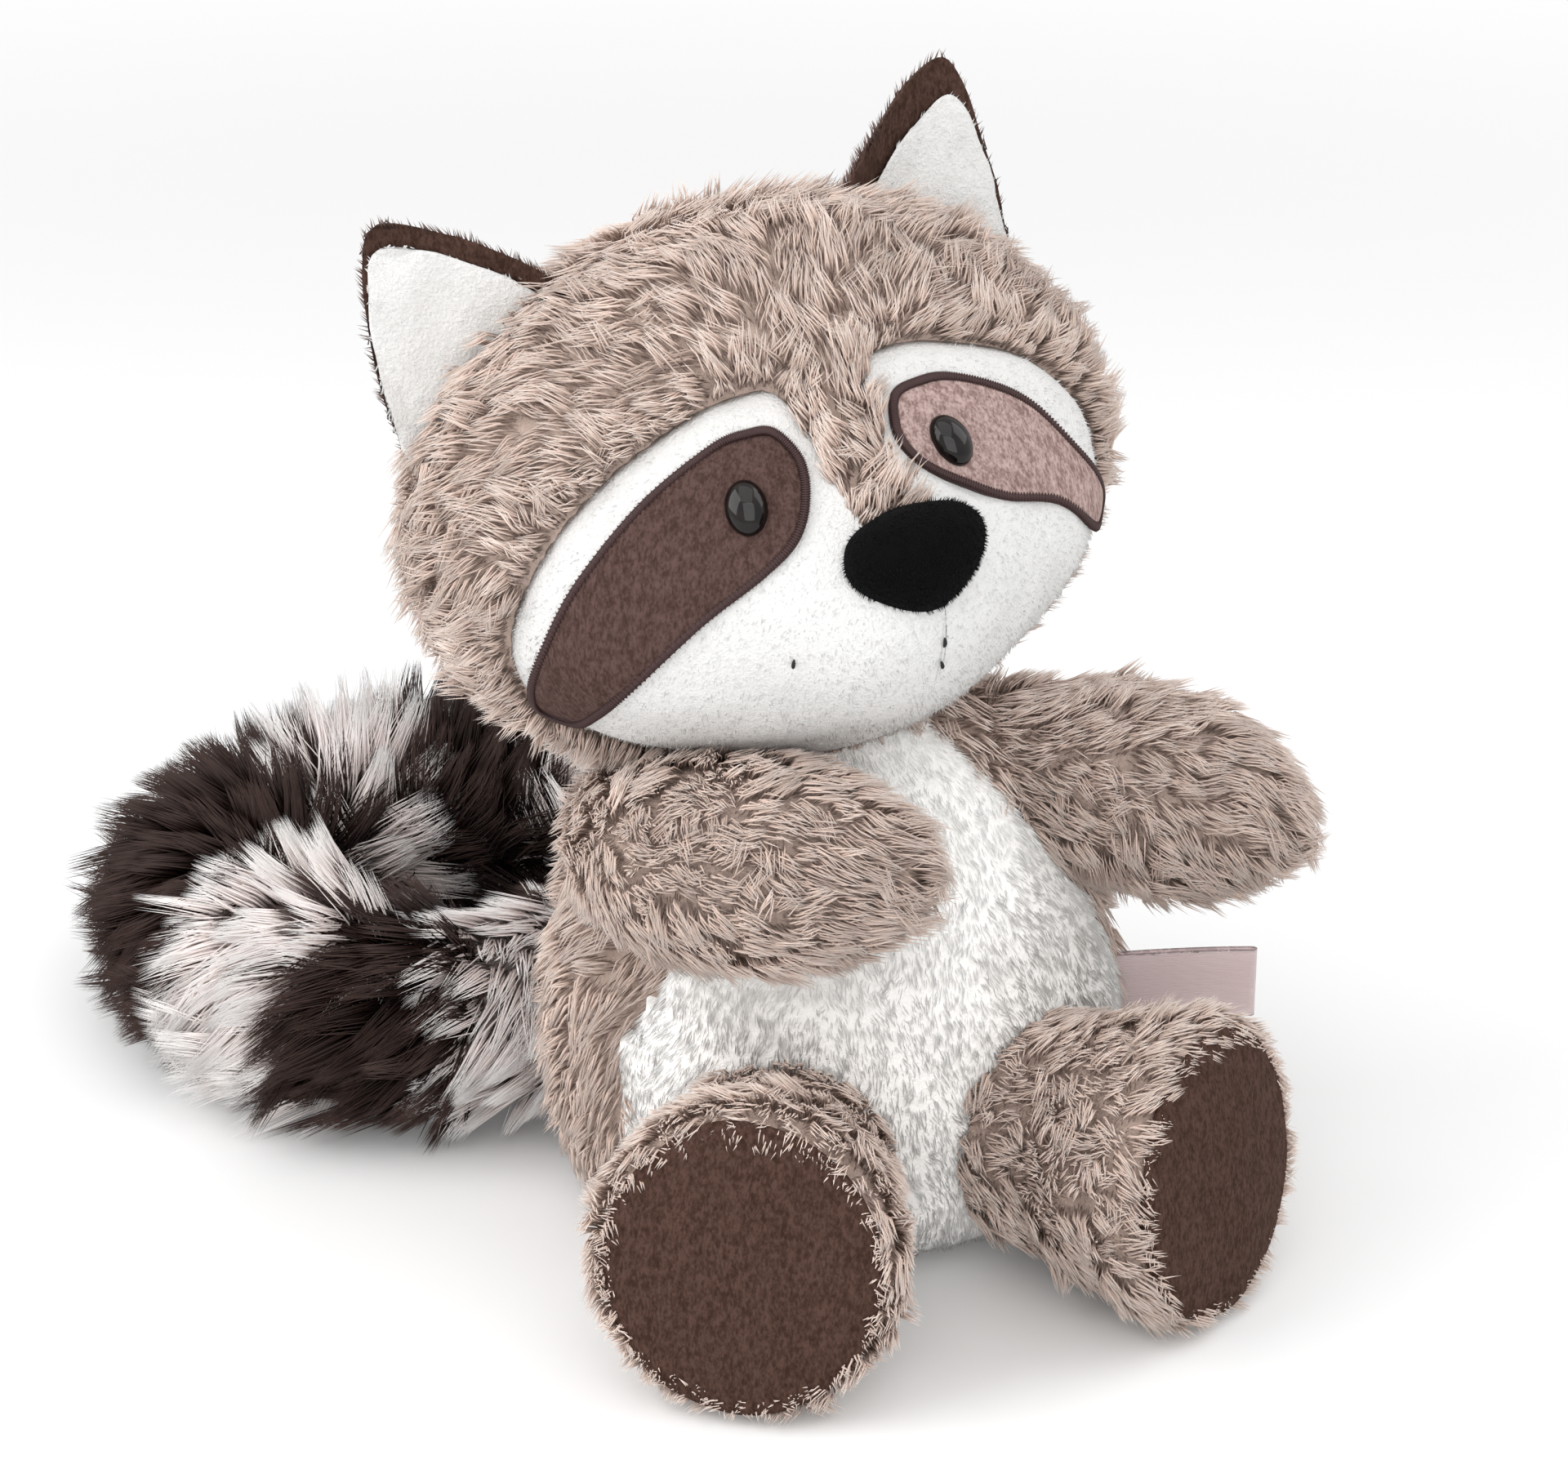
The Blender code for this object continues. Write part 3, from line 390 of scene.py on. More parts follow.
def band_skin(start, end, radius):
    """Barrel of tail cloth between two places on the tail's line."""

    def skin(way):
        place, turn = poles(way)
        size = math.sin(math.pi / 2 * min(1, place / 0.15, (1 - place) / 0.15)) if 0 < place < 1 else 0
        part = start + (end - start) * min(1, max(0, (place - 0.08) / 0.84))
        here, side, up, _ = line_frame(tail_line, part)
        spot = here + side * (radius(part) * size * math.cos(turn)) + up * (radius(part) * size * math.sin(turn))
        spot.z = max(spot.z, 0.004)
        return spot

    return skin


# ---------------------------------------------------------------- finishes


def finish(name, colour, rough, sheen=0.0, sheen_rough=0.4, sheen_tint=None, coat=0.0, specular=0.3):
    """Material with its constant values on the shader's own sockets; returns it with its tree and shader."""
    made = bpy.data.materials.new(name)
    made.use_nodes = True
    tree = made.node_tree
    shader = tree.nodes["Principled BSDF"]
    shader.inputs["Base Color"].default_value = (*colour, 1)
    shader.inputs["Roughness"].default_value = rough
    shader.inputs["Specular IOR Level"].default_value = specular
    shader.inputs["Sheen Weight"].default_value = sheen
    shader.inputs["Sheen Roughness"].default_value = sheen_rough
    shader.inputs["Sheen Tint"].default_value = (*(sheen_tint or colour), 1)
    shader.inputs["Coat Weight"].default_value = coat
    made.diffuse_color = (*colour, 1)
    return made, tree, shader


def add(tree, kind, **inputs):
    """New node with inputs by name, or by number as i0, i1 and i2, each a value or another node's socket."""
    made = tree.nodes.new(kind)
    for name, value in inputs.items():
        numbered = name[0] == "i" and name[1:].isdigit()
        socket = made.inputs[int(name[1:]) if numbered else name.replace("_", " ")]
        if isinstance(value, bpy.types.NodeSocket):
            tree.links.new(value, socket)
        else:
            socket.default_value = value
    return made


def maths(tree, operation, *values):
    made = add(tree, "ShaderNodeMath", **{"i%d" % place: value for place, value in enumerate(values)})
    made.operation = operation
    return made.outputs[0]


def ramp(tree, factor, stops):
    """Colour ramp through places and colours."""
    made = add(tree, "ShaderNodeValToRGB", i0=factor)
    made.color_ramp.interpolation = "EASE"
    while len(made.color_ramp.elements) < len(stops):
        made.color_ramp.elements.new(0.5)
    for element, (place, colour) in zip(made.color_ramp.elements, stops):
        element.position = place
        element.color = (*colour, 1)
    return made.outputs[0]


def grain(tree, scale, detail=2.0, rough=0.5, stretch=None):
    """Noise on the piece's own coordinates, as a socket from 0 to 1."""
    spots = add(tree, "ShaderNodeTexCoord").outputs["Object"]
    if stretch:
        spots = add(tree, "ShaderNodeMapping", Vector=spots, Scale=stretch).outputs[0]
    return add(tree, "ShaderNodeTexNoise", Vector=spots, Scale=scale, Detail=detail, Roughness=rough).outputs[0]


def tinted(tree, shader, colour, value):
    """Sends a colour to the shader with its brightness set by a value."""
    made = add(tree, "ShaderNodeHueSaturation", Color=colour, Value=value)
    tree.links.new(made.outputs[0], shader.inputs["Base Color"])


def bumped(tree, shader, height, depth):
    made = add(tree, "ShaderNodeBump", Height=height, Distance=depth, Strength=1.0)
    tree.links.new(made.outputs[0], shader.inputs["Normal"])


def fur_finish(name, root, middle, tip, rough, sheen, contrast, specular=0.25):
    """Hair painted darker at its root, as shade deep in the pile, and paler at its tip, as light; each lock has its own
    tone on the hair map.
    """
    made, tree, shader = finish(name, middle, rough, sheen, 0.5, tip, specular=specular)
    place = add(tree, "ShaderNodeUVMap")
    place.uv_map = HAIR_MAP
    axes = add(tree, "ShaderNodeSeparateXYZ", i0=place.outputs[0])
    column = maths(tree, "MULTIPLY", axes.outputs[0], float(TONES))
    tone = maths(tree, "DIVIDE", maths(tree, "FLOOR", column), float(TONES))
    across = maths(tree, "FRACT", column)
    streak = maths(tree, "SINE", maths(tree, "MULTIPLY", across, 37.7))
    # Root to tip: painted shade at the root, painted light at the tip.
    colour = ramp(tree, axes.outputs[1], [(0.0, root), (0.5, middle), (1.0, tip)])
    fibre = maths(tree, "MULTIPLY_ADD", streak, 0.10, 1.0)
    level = maths(tree, "MULTIPLY_ADD", tone, contrast, 1 - contrast / 2)
    tinted(tree, shader, colour, maths(tree, "MULTIPLY", fibre, level))
    return made


def cloth_finish(name, colour, rough, sheen, grain_scale, depth, contrast, sheen_tint=None, specular=0.3):
    """Short pile or woven backing: fine grain, and soft patches where the pile leans another way, painted lighter and
    darker as its shade and sheen.
    """
    made, tree, shader = finish(name, colour, rough, sheen, 0.35, sheen_tint, specular=specular)
    fine = grain(tree, grain_scale, 3.0, 0.6)
    patches = grain(tree, 90.0, 2.0, 0.5)
    # The patches are painted shade and sheen on the colour, as well as bumps.
    value = maths(tree, "MULTIPLY_ADD", patches, contrast, 1 - contrast / 2)
    speck = maths(tree, "MULTIPLY_ADD", fine, contrast * 0.7, 1 - contrast * 0.35)
    tinted(tree, shader, (*colour, 1), maths(tree, "MULTIPLY", value, speck))
    bumped(tree, shader, maths(tree, "ADD", fine, maths(tree, "MULTIPLY", patches, 1.5)), depth)
    return made


# Fur: name, colours at root, middle and tip, then roughness, sheen, contrast between locks and shine; root colours are
# painted shade and tip colours painted light.
FURS = {
    "ear_rim_fur": ("ear_rim_hair", (0.045, 0.026, 0.022), (0.10, 0.062, 0.052), (0.22, 0.155, 0.13), 0.7, 0.15, 0.3),
    "black_velvet_pile": ("black_velvet_pile", (0.001, 0.001, 0.001), (0.003, 0.003, 0.0035), (0.022, 0.021, 0.022),
                          0.8, 0.0, 0.9, 0.05),
    # The white pile of face and ears is painted greyer than the belly's white, as shade against the stronger light
    # there.
    "white_plush_pile": ("white_plush_pile", (0.67, 0.665, 0.655), (0.73, 0.725, 0.715), (0.79, 0.785, 0.775),
                         0.85, 0.1, 0.05),
    "taupe_fur": ("taupe_fur_hair", (0.35, 0.260, 0.220), (0.60, 0.471, 0.410), (0.92, 0.805, 0.735), 0.72, 0.15, 0.34),
    "white_belly_fur": ("white_belly_hair", (0.92, 0.91, 0.89), (0.96, 0.955, 0.94), (0.98, 0.975, 0.965),
                        0.75, 0.1, 0.10),
    # The brown tips of the dark tail hair are painted highlights.
    "dark_tail_fur": ("dark_tail_hair", (0.008, 0.004, 0.0035), (0.022, 0.0115, 0.0095), (0.070, 0.042, 0.035),
                      0.42, 0.1, 0.5, 0.15),
    "light_tail_fur": ("pale_tail_hair", (0.56, 0.465, 0.445), (0.82, 0.735, 0.71), (0.96, 0.935, 0.92),
                       0.5, 0.1, 0.24),
}

# Cloth and short pile: name, colour, roughness, sheen, how fine and how deep the grain is, contrast, then
# the tint of the sheen and the shine.
CLOTHS = {
    # The taupe and pale tail backings are darker than their hair, painted shade for the deep gaps between the hairs.
    "taupe_backing": ("taupe_backing_painted_shade", (0.44, 0.337, 0.288), 0.95, 0.1, 900.0, 0.0010, 0.6),
    "white_backing": ("white_backing_cloth", (0.94, 0.93, 0.91), 0.95, 0.1, 900.0, 0.0006, 0.15),
    "dark_backing": ("dark_tail_backing", (0.018, 0.010, 0.008), 0.9, 0.0, 900.0, 0.0006, 0.4),
    "pale_backing": ("pale_tail_backing_painted_shade", (0.42, 0.36, 0.34), 0.9, 0.0, 900.0, 0.0006, 0.3),
    # The face plush is painted greyer than the white of the belly, as shade that offsets the stronger light on the
    # face.
    "white_face_plush": ("white_face_plush", (0.71, 0.705, 0.695), 0.95, 0.06, 1400.0, 0.0006, 0.06, (1, 1, 1)),
    "black_velvet": ("black_velvet", (0.0035, 0.0035, 0.004), 0.95, 0.03, 1800.0, 0.0004, 0.5, (0.3, 0.3, 0.32), 0.05),
    "brown_stitching": ("brown_satin_thread", (0.038, 0.017, 0.016), 0.55, 0.05, 3000.0, 0.0001, 0.3),
    "black_thread": ("black_thread", (0.008, 0.008, 0.009), 0.6, 0.1, 3000.0, 0.0001, 0.3),
    "polyester_filling": ("polyester_filling", (0.88, 0.88, 0.87), 1.0, 0.2, 500.0, 0.0010, 0.1),
    "washer_plastic": ("washer_plastic", (0.70, 0.70, 0.68), 0.45, 0.0, 300.0, 0.00005, 0.04),
}

# Velour: name, colour where it stands and where it is brushed, the brushed colour being painted sheen, then sheen and
# how fine the strokes are.
VELOURS = {
    "brown_velour": ("brown_velour", (0.034, 0.017, 0.012), (0.080, 0.045, 0.035), 0.15, 700.0),
    "patch_velour_right": ("patch_velour", (0.046, 0.025, 0.021), (0.098, 0.059, 0.052), 0.15, 700.0),
    # The left patch is the same velour as the right one, painted much paler all over as the light and sheen that fall
    # on it.
    "patch_velour_left": ("patch_velour_painted_sheen", (0.19, 0.12, 0.110), (0.46, 0.34, 0.315), 0.2, 560.0),
}
# The ribbon's colour is raised paler, as painted light that lifts the shade in the seam where it sits.
RIBBON = (0.95, 0.835, 0.835)


def velour_finish(name, deep, lit, sheen, brush):
    """Dense short pile that is deep where it stands up and painted paler, as sheen, where a hand has brushed it flat.
    """
    made, tree, shader = finish(name, deep, 0.9, sheen, 0.3, lit, specular=0.08)
    fine = grain(tree, 1700.0, 3.0, 0.6, (1, 1, 0.5))
    strokes = grain(tree, brush, 3.0, 0.65, (1, 1, 0.5))
    share = maths(tree, "ADD", maths(tree, "MULTIPLY", fine, 0.5), maths(tree, "MULTIPLY", strokes, 0.5))
    # Strokes of brushed pile painted paler as sheen.
    tree.links.new(ramp(tree, share, [(0.36, deep), (0.64, lit)]), shader.inputs["Base Color"])
    bumped(tree, shader, share, 0.0006)
    return made


def eye_finish():
    made, tree, shader = finish("dark_eye_plastic", (0.006, 0.004, 0.004), 0.12, coat=0.6, specular=0.0)
    shader.inputs["Coat Roughness"].default_value = 0.03
    cloudy = grain(tree, 400.0)
    colour = ramp(tree, cloudy, [(0.3, (0.004, 0.003, 0.003)), (0.7, (0.010, 0.007, 0.006))])
    tree.links.new(colour, shader.inputs["Base Color"])
    return made


def ribbon_finish():
    """Pale satin ribbon, its weave as fine crossing lines."""
    made, tree, shader = finish("pale_pink_ribbon", RIBBON, 0.45, 0.3, 0.3, (1, 0.9, 0.95))
    spots = add(tree, "ShaderNodeTexCoord").outputs["Object"]
    weave = add(tree, "ShaderNodeTexWave", Vector=spots, Scale=700.0, Distortion=0.4)
    weave.bands_direction = "Z"
    value = maths(tree, "MULTIPLY_ADD", weave.outputs[1], 0.06, 0.97)
    tinted(tree, shader, (*RIBBON, 1), value)
    bumped(tree, shader, weave.outputs[1], 0.00005)
    return made


finishes = {look: fur_finish(*values) for look, values in FURS.items()}
finishes.update((look, cloth_finish(*values)) for look, values in CLOTHS.items())
finishes.update((look, velour_finish(*values)) for look, values in VELOURS.items())
finishes["black_eye_plastic"] = eye_finish()
finishes["label_ribbon"] = ribbon_finish()


# ---------------------------------------------------------------- making pieces


def placed(name, data):
    made = bpy.data.objects.new(name, data)
    bpy.context.scene.collection.objects.link(made)
    return made


def piece(name, skin, look, node, slot=None):
    """Puts a skin, or a mesh, in its place on the toy as a piece that stands for a CAD node."""
    mesh = skin if isinstance(skin, bpy.types.Mesh) else meshed(name, skin)
    mesh.transform(Matrix.Translation(SEAT))
    mesh.materials.append(finishes[look])
    made = placed(name, mesh)
    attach(made, "root")
    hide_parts(node)
    slot or look
    return made


def meshed(name, bm):
    mesh = bpy.data.meshes.new(name)
    bm.to_mesh(mesh)
    bm.free()
    mesh.shade_smooth()
    return mesh


def ball(form, around, up):
    """Closed skin shaped from a sphere by a form that gives a point for each direction."""
    bm = bmesh.new()
    bmesh.ops.create_uvsphere(bm, u_segments=around, v_segments=up, radius=1)
    for vert in bm.verts:
        vert.co = form(vert.co.normalized())
    bmesh.ops.remove_doubles(bm, verts=bm.verts, dist=0.00001)
    bmesh.ops.recalc_face_normals(bm, faces=bm.faces)
    bm.normal_update()
    return bm


def raised(bm, rise):
    """Moves a skin out by a rise, one number or a function of its points."""
    bm.normal_update()
    rises = rise(np.array([vert.co for vert in bm.verts])) if callable(rise) else np.full(len(bm.verts), rise)
    moves = [(vert, vert.normal * float(far)) for vert, far in zip(bm.verts, rises)]
    for vert, move in moves:
        vert.co += move
    bm.normal_update()
    return bm


def rumpled(bm, size, depth, seed):
    """Soft dents and swells of stuffed cloth."""
    return raised(bm, lambda points: swell(points, size, seed) * depth)


def unit(ways):
    return ways / np.maximum(np.linalg.norm(ways, axis=1, keepdims=True), 1e-9)


def swell(points, size, seed, waves=9):
    """Soft random hills between about -1 and 1, about as wide as the given size."""
    chance = np.random.default_rng(seed)
    ways = unit(chance.normal(size=(waves, 3)))
    pitch = 2 * math.pi / (size * chance.uniform(0.7, 1.6, (waves, 1)))
    turns = chance.uniform(0, 2 * math.pi, waves)
    return np.sin(points @ (ways * pitch).T + turns).sum(axis=1) / math.sqrt(waves)


def scatter(bm, density, seed):
    """Even random places on a skin, so many per square millimetre, with the way out at each."""
    copy = bm.copy()
    bmesh.ops.triangulate(copy, faces=copy.faces)
    copy.normal_update()
    copy.verts.ensure_lookup_table()
    spots = np.array([vert.co for vert in copy.verts])
    ways = np.array([vert.normal for vert in copy.verts])
    corners = np.array([[vert.index for vert in face.verts] for face in copy.faces])
    areas = np.array([face.calc_area() for face in copy.faces])
    copy.free()
    chance = np.random.default_rng(seed)
    count = int(areas.sum() * 1e6 * density)
    picks = (np.arange(count) + chance.uniform(0, 1, count)) / count
    which = np.searchsorted(np.cumsum(areas) / areas.sum(), picks).clip(0, len(areas) - 1)
    first, second = chance.uniform(0, 1, (2, count))
    over = first + second > 1
    first[over], second[over] = 1 - first[over], 1 - second[over]
    shares = np.stack([1 - first - second, first, second], axis=1)[:, :, None]
    return (spots[corners[which]] * shares).sum(axis=1), unit((ways[corners[which]] * shares).sum(axis=1))


def clear_of(points, tree, gap=0.0):
    """True for each point that lies outside a closed skin by a gap."""
    found = []
    for spot in points:
        near, out, _, _ = tree.find_nearest(Vector(spot))
        found.append((Vector(spot) - near).dot(out) > gap)
    return np.array(found)


def within(azimuth, elevation, edge):
    """True for each direction, in degrees, that lies inside an outline."""
    inside = np.zeros(len(azimuth), bool)
    for (a, b), (c, d) in zip(edge, edge[1:] + edge[:1]):
        crosses = (b > elevation) != (d > elevation)
        at = a + (elevation - b) * (c - a) / (d - b if d != b else 1e-9)
        inside ^= crosses & (azimuth < at)
    return inside


def seam_distance(azimuth, elevation, edge):
    """Degrees from each direction to an outline, above 0 inside it."""
    squeeze = np.cos(np.radians(elevation))
    nearest = np.full(len(azimuth), 1e9)
    for (a, b), (c, d) in zip(edge, edge[1:] + edge[:1]):
        wide, tall = (c - a) * squeeze, d - b
        x, y = (azimuth - a) * squeeze, elevation - b
        share = ((x * wide + y * tall) / np.maximum(wide**2 + tall**2, 1e-9)).clip(0, 1)
        nearest = np.minimum(nearest, np.hypot(x - wide * share, y - tall * share))
    return np.where(within(azimuth, elevation, edge), nearest, -nearest)


def pulled(bm, edges, top, last=False):
    """Pulls a loop of edges to a new height, to a point where it is the last step."""
    grown = bmesh.ops.extrude_edge_only(bm, edges=edges)["geom"]
    verts = [item for item in grown if isinstance(item, bmesh.types.BMVert)]
    for vert in verts:
        vert.co.z = top
    if last:
        bmesh.ops.pointmerge(bm, verts=verts, merge_co=(0, 0, top))
    return [item for item in grown if isinstance(item, bmesh.types.BMEdge) and item.is_valid]


def hair_shape(rings):
    """One hair as points across and along it, with its triangles and their place on the hair map.

    Without rings it is a short straight cone; with them it is thin at both ends and bends at each ring.
    """
    bm = bmesh.new()
    bmesh.ops.create_circle(bm, cap_ends=not rings, segments=3, radius=1)
    heights = [(step + 1) / (rings + 1.4) for step in range(rings)]
    edges = list(bm.edges)
    if rings:
        bmesh.ops.translate(bm, verts=bm.verts, vec=(0, 0, heights[0]))
        pulled(bm, edges, 0, True)
    for height in heights[1:]:
        edges = pulled(bm, edges, height)
    pulled(bm, edges, 1, True)
    bmesh.ops.recalc_face_normals(bm, faces=bm.faces)
    bmesh.ops.triangulate(bm, faces=bm.faces)
    bm.verts.index_update()
    bm.verts.ensure_lookup_table()
    spots = np.array([vert.co for vert in bm.verts])
    faces = np.array([[vert.index for vert in face.verts] for face in bm.faces])
    bm.free()
    turns = np.round((np.degrees(np.arctan2(spots[:, 1], spots[:, 0])) % 360) / 120, 3) % 3
    wide = np.hypot(spots[:, 0], spots[:, 1]) > 0.5
    turns -= turns[wide].min()
    maps = np.zeros((len(faces), 3, 2))
    for row, face in enumerate(faces):
        height = spots[face, 2]
        if height.max() == 0:
            maps[row] = [(0.1, 0.0), (0.9, 0.0), (0.5, 0.04)]
            continue
        ringed = [turn for turn, ring in zip(turns[face], wide[face]) if ring]
        if max(ringed) - min(ringed) > 1.5:
            ringed = [turn + 3 if turn < 0.5 else turn for turn in ringed]
        middle = (min(ringed) + max(ringed)) / 2
        values = iter(ringed)
        maps[row] = [((next(values) if ring else middle) / 3, z) for ring, z in zip(wide[face], height)]
    return spots, faces, maps


def coat_mesh(name, shape, curves, sides, thick, tones):
    """Mesh of many hairs: one hair shape bent along each curve of three points."""
    spots, faces, maps = shape
    start, bend, tip = curves
    count = len(start)
    s = spots[:, 2][None, :, None]
    line = start[:, None] * (1 - s) ** 2 + bend[:, None] * 2 * s * (1 - s) + tip[:, None] * s**2
    ahead = unit(tip - start)
    ups = unit(np.cross(ahead, sides))
    spread = thick[:, None, None] * (1 - 0.35 * s**2)
    verts = line + spread * (spots[None, :, 0:1] * sides[:, None] + spots[None, :, 1:2] * ups[:, None])
    verts[:, :, 2] = np.maximum(verts[:, :, 2], FLOOR)
    corners = (faces[None] + (np.arange(count) * len(spots))[:, None, None]).reshape(-1)
    places = np.repeat(maps[None], count, axis=0).reshape(count, -1, 2)
    column = np.clip((tones * TONES).astype(int), 0, TONES - 1)
    places[:, :, 0] = (column[:, None] + 0.08 + 0.84 * places[:, :, 0]) / TONES
    mesh = bpy.data.meshes.new(name)
    mesh.vertices.add(count * len(spots))
    mesh.vertices.foreach_set("co", verts.reshape(-1).astype(np.float32))
    mesh.loops.add(len(corners))
    mesh.loops.foreach_set("vertex_index", corners.astype(np.int32))
    mesh.polygons.add(len(corners) // 3)
    mesh.polygons.foreach_set("loop_start", np.arange(0, len(corners), 3, dtype=np.int32))
    mesh.update(calc_edges=True)
    layer = mesh.uv_layers.new(name=HAIR_MAP)
    layer.uv.foreach_set("vector", places.reshape(-1).astype(np.float32))
    mesh.shade_smooth()
    return mesh


def coat(name, roots, outs, naps, seed, look, node, slot=None, *, long, thick, lift, per_lock, swing, gather,
         rings=1, arch=0.28, stray=0.18, vary=0.12):
    """Fur of many hairs: locks of them swing together off the nap and their tips gather.

    The length and the lift off the cloth are one number, or one for each hair.
    """
    chance = np.random.default_rng(seed)
    count = len(roots)
    naps = unit(naps - outs * (naps * outs).sum(axis=1, keepdims=True))
    heads = roots[chance.choice(count, max(1, int(count / per_lock)), replace=False)]
    tree = KDTree(len(heads))
    for place, spot in enumerate(heads):
        tree.insert(Vector(spot), place)
    tree.balance()
    lock = np.array([tree.find(Vector(spot))[1] for spot in roots])
    swings = swell(heads, LOCK_REGION, seed + 1) * swing * 0.7 + chance.normal(0, swing * 0.6, len(heads))
    turn = swings[lock] + chance.normal(0, stray, count)
    across = np.cross(outs, naps)
    lay = naps * np.cos(turn)[:, None] + across * np.sin(turn)[:, None]
    sides = np.cross(outs, lay)
    lifts = (lift + chance.normal(0, vary, len(heads))[lock] + chance.normal(0, vary / 2, count)).clip(0.08, 0.95)
    lengths = long * chance.uniform(0.78, 1.12, len(heads))[lock] * chance.uniform(0.85, 1.1, count)
    rise, run = lifts[:, None], np.sqrt(1 - lifts**2)[:, None]
    size = np.asarray(lengths)[:, None]
    tips = roots + size * (outs * rise + lay * run)
    sums = np.zeros((len(heads), 3))
    np.add.at(sums, lock, tips)
    middles = sums / np.maximum(np.bincount(lock, minlength=len(heads)), 1)[:, None]
    tips += gather * (middles[lock] - tips)
    bends = roots + size * (outs * (rise * 0.5 + arch) + lay * run * 0.42)
    bends += sides * size * chance.normal(0, 0.10, (count, 1))
    for points in (bends, tips):
        points[:, 2] = np.maximum(points[:, 2], FLOOR + 0.001)
    starts = roots - outs * 0.0006
    lock_tone = chance.normal(0.5, 0.16, len(heads))[lock] + swell(roots, LOCK_REGION * 2, seed + 2) * 0.08
    tones = (lock_tone + chance.normal(0, 0.10, count)).clip(0, 0.999)
    widths = np.full(count, thick) * chance.uniform(0.8, 1.2, count)
    mesh = coat_mesh(name, hair_shape(rings), (starts, bends, tips), sides, widths, tones)
    return piece(name, mesh, look, node, slot)


def plush(name, roots, outs, nap, seed, look, node, slot, **hairs):
    """Short straight pile that leans one way all over."""
    naps = np.tile(np.array(nap), (len(roots), 1))
    coat(name, roots, outs, naps, seed, look, node, slot, rings=0, arch=0.1, **hairs)


def head_ways(points):
    """Places in the head's own frame, with their azimuth and elevation in degrees."""
    back = np.array(head_place.inverted())
    own = points @ back[:3, :3].T + back[:3, 3]
    ways = unit(own)
    return own, np.degrees(np.arctan2(ways[:, 0], -ways[:, 1])), np.degrees(np.arcsin(ways[:, 2].clip(-1, 1)))


# ---------------------------------------------------------------- head


def make_head_fur():
    def rise(points):
        _, azimuth, elevation = head_ways(points)
        seam = seam_distance(azimuth, elevation, face_outline())
        return np.interp(seam, [-5, -2.5, 0, 1.5], [0.0042, 0.0030, 0.0006, 0.0002])

    cloth = raised(ball(lambda way: head_place @ head_skin(way), 96, 60), rise)
    tree = BVHTree.FromBMesh(cloth)
    lots = scatter(cloth, HEAD_HAIRS, 3), scatter(cloth, SEAM_HAIRS, 4)
    roots, outs = (np.concatenate(part) for part in zip(*lots))
    own, azimuth, elevation = head_ways(roots)
    seam = seam_distance(azimuth, elevation, face_outline())
    by_seam = np.arange(len(roots)) > int(len(roots) * HEAD_HAIRS / (HEAD_HAIRS + SEAM_HAIRS))
    keep = (seam < 0.3) & (elevation > -86) & (~by_seam | (seam > -SEAM_REACH))
    roots, outs, own, azimuth, elevation, seam = (
        part[keep] for part in (roots, outs, own, azimuth, elevation, seam)
    )
    nose = np.array([0, -1, -0.15]) / math.hypot(1, 0.15)
    ways = unit(own)
    away = unit(ways - nose * (ways @ nose)[:, None])
    behind = np.clip(own[:, 1:2] / 0.05, 0, 1)
    away = away * (1 - behind) + np.array([0, 0, -1]) * behind
    strip = np.clip((20 - np.abs(azimuth)) / 8, 0, 1) * np.clip((32 - elevation) / 6, 0, 1)
    edge = np.clip(1 + seam / 4.0, 0, 1) * (1 - 0.4 * strip)
    naps = away @ np.array(head_place.to_3x3()).T
    coat("head_fur_pile", roots, outs, naps, 5, "taupe_fur", "head_fur", long=0.0102 - 0.0040 * edge, thick=0.00026,
         lift=0.50 + 0.32 * edge, per_lock=14, swing=0.75, gather=0.42, vary=0.16)
    piece("head_fur_cloth", cloth, "taupe_backing", "head_fur", "taupe_fur")
    return tree


def pad_form(edge, middle, side, rise, dome, base=0.0):
    """Form of a pad on the head inside an outline, with its front raised and its edge rolled down."""
    turned_at = 0.8

    def form(way):
        place, turn = poles(way)
        front = place < turned_at
        reach = place / turned_at if front else (1 - place) / (1 - turned_at)
        rim = along(edge, turn / (2 * math.pi), closed=True)
        azimuth = middle[0] + (rim.x - middle[0]) * reach
        elevation = middle[1] + (rim.y - middle[1]) * reach
        height = base + (rise - base) * (1 - reach**dome) ** 0.5 if front else base
        return head_frame(compass(azimuth, elevation, side), height)[0]

    return form


def make_face():
    panel = rumpled(ball(pad_form(face_outline(), FACE_MIDDLE, 1, FACE_PILE, 14), 120, 44), 0.02, 0.0003, 21)
    roots, outs = scatter(panel, 0.6, 22)
    _, azimuth, elevation = head_ways(roots)
    keep = within(azimuth, elevation, face_outline())
    keep &= (outs * unit(roots - np.array(HEAD_AT))).sum(axis=1) > 0.2
    for word, side in SIDES.items():
        keep &= ~within(azimuth * side, elevation, widen(PATCH_EDGE[word], -0.4))
    plush("face_plush_pile", roots[keep], outs[keep], (0, 0.4, -1.0), 23, "white_plush_pile", "face_panel",
          "white_face_plush", long=0.0015, thick=0.00022, lift=0.45, per_lock=5, swing=0.5, gather=0.25)
    piece("face_panel_cloth", panel, "white_face_plush", "face_panel")


def outline_frames(edge, side, rise, steps):
    """Points, ways out and ways across of a line that runs round an outline on the head."""
    found = []
    for step in range(steps):
        here = along(edge, step / steps, closed=True)
        spot, out = head_frame(compass(here.x, here.y, side), rise)
        found.append((spot, out))
    spots = [spot for spot, _ in found]
    frames = []
    for step, (spot, out) in enumerate(found):
        ahead = (spots[(step + 1) % steps] - spots[step - 1]).normalized()
        frames.append((spot, out, out.cross(ahead).normalized(), ahead))
    return frames


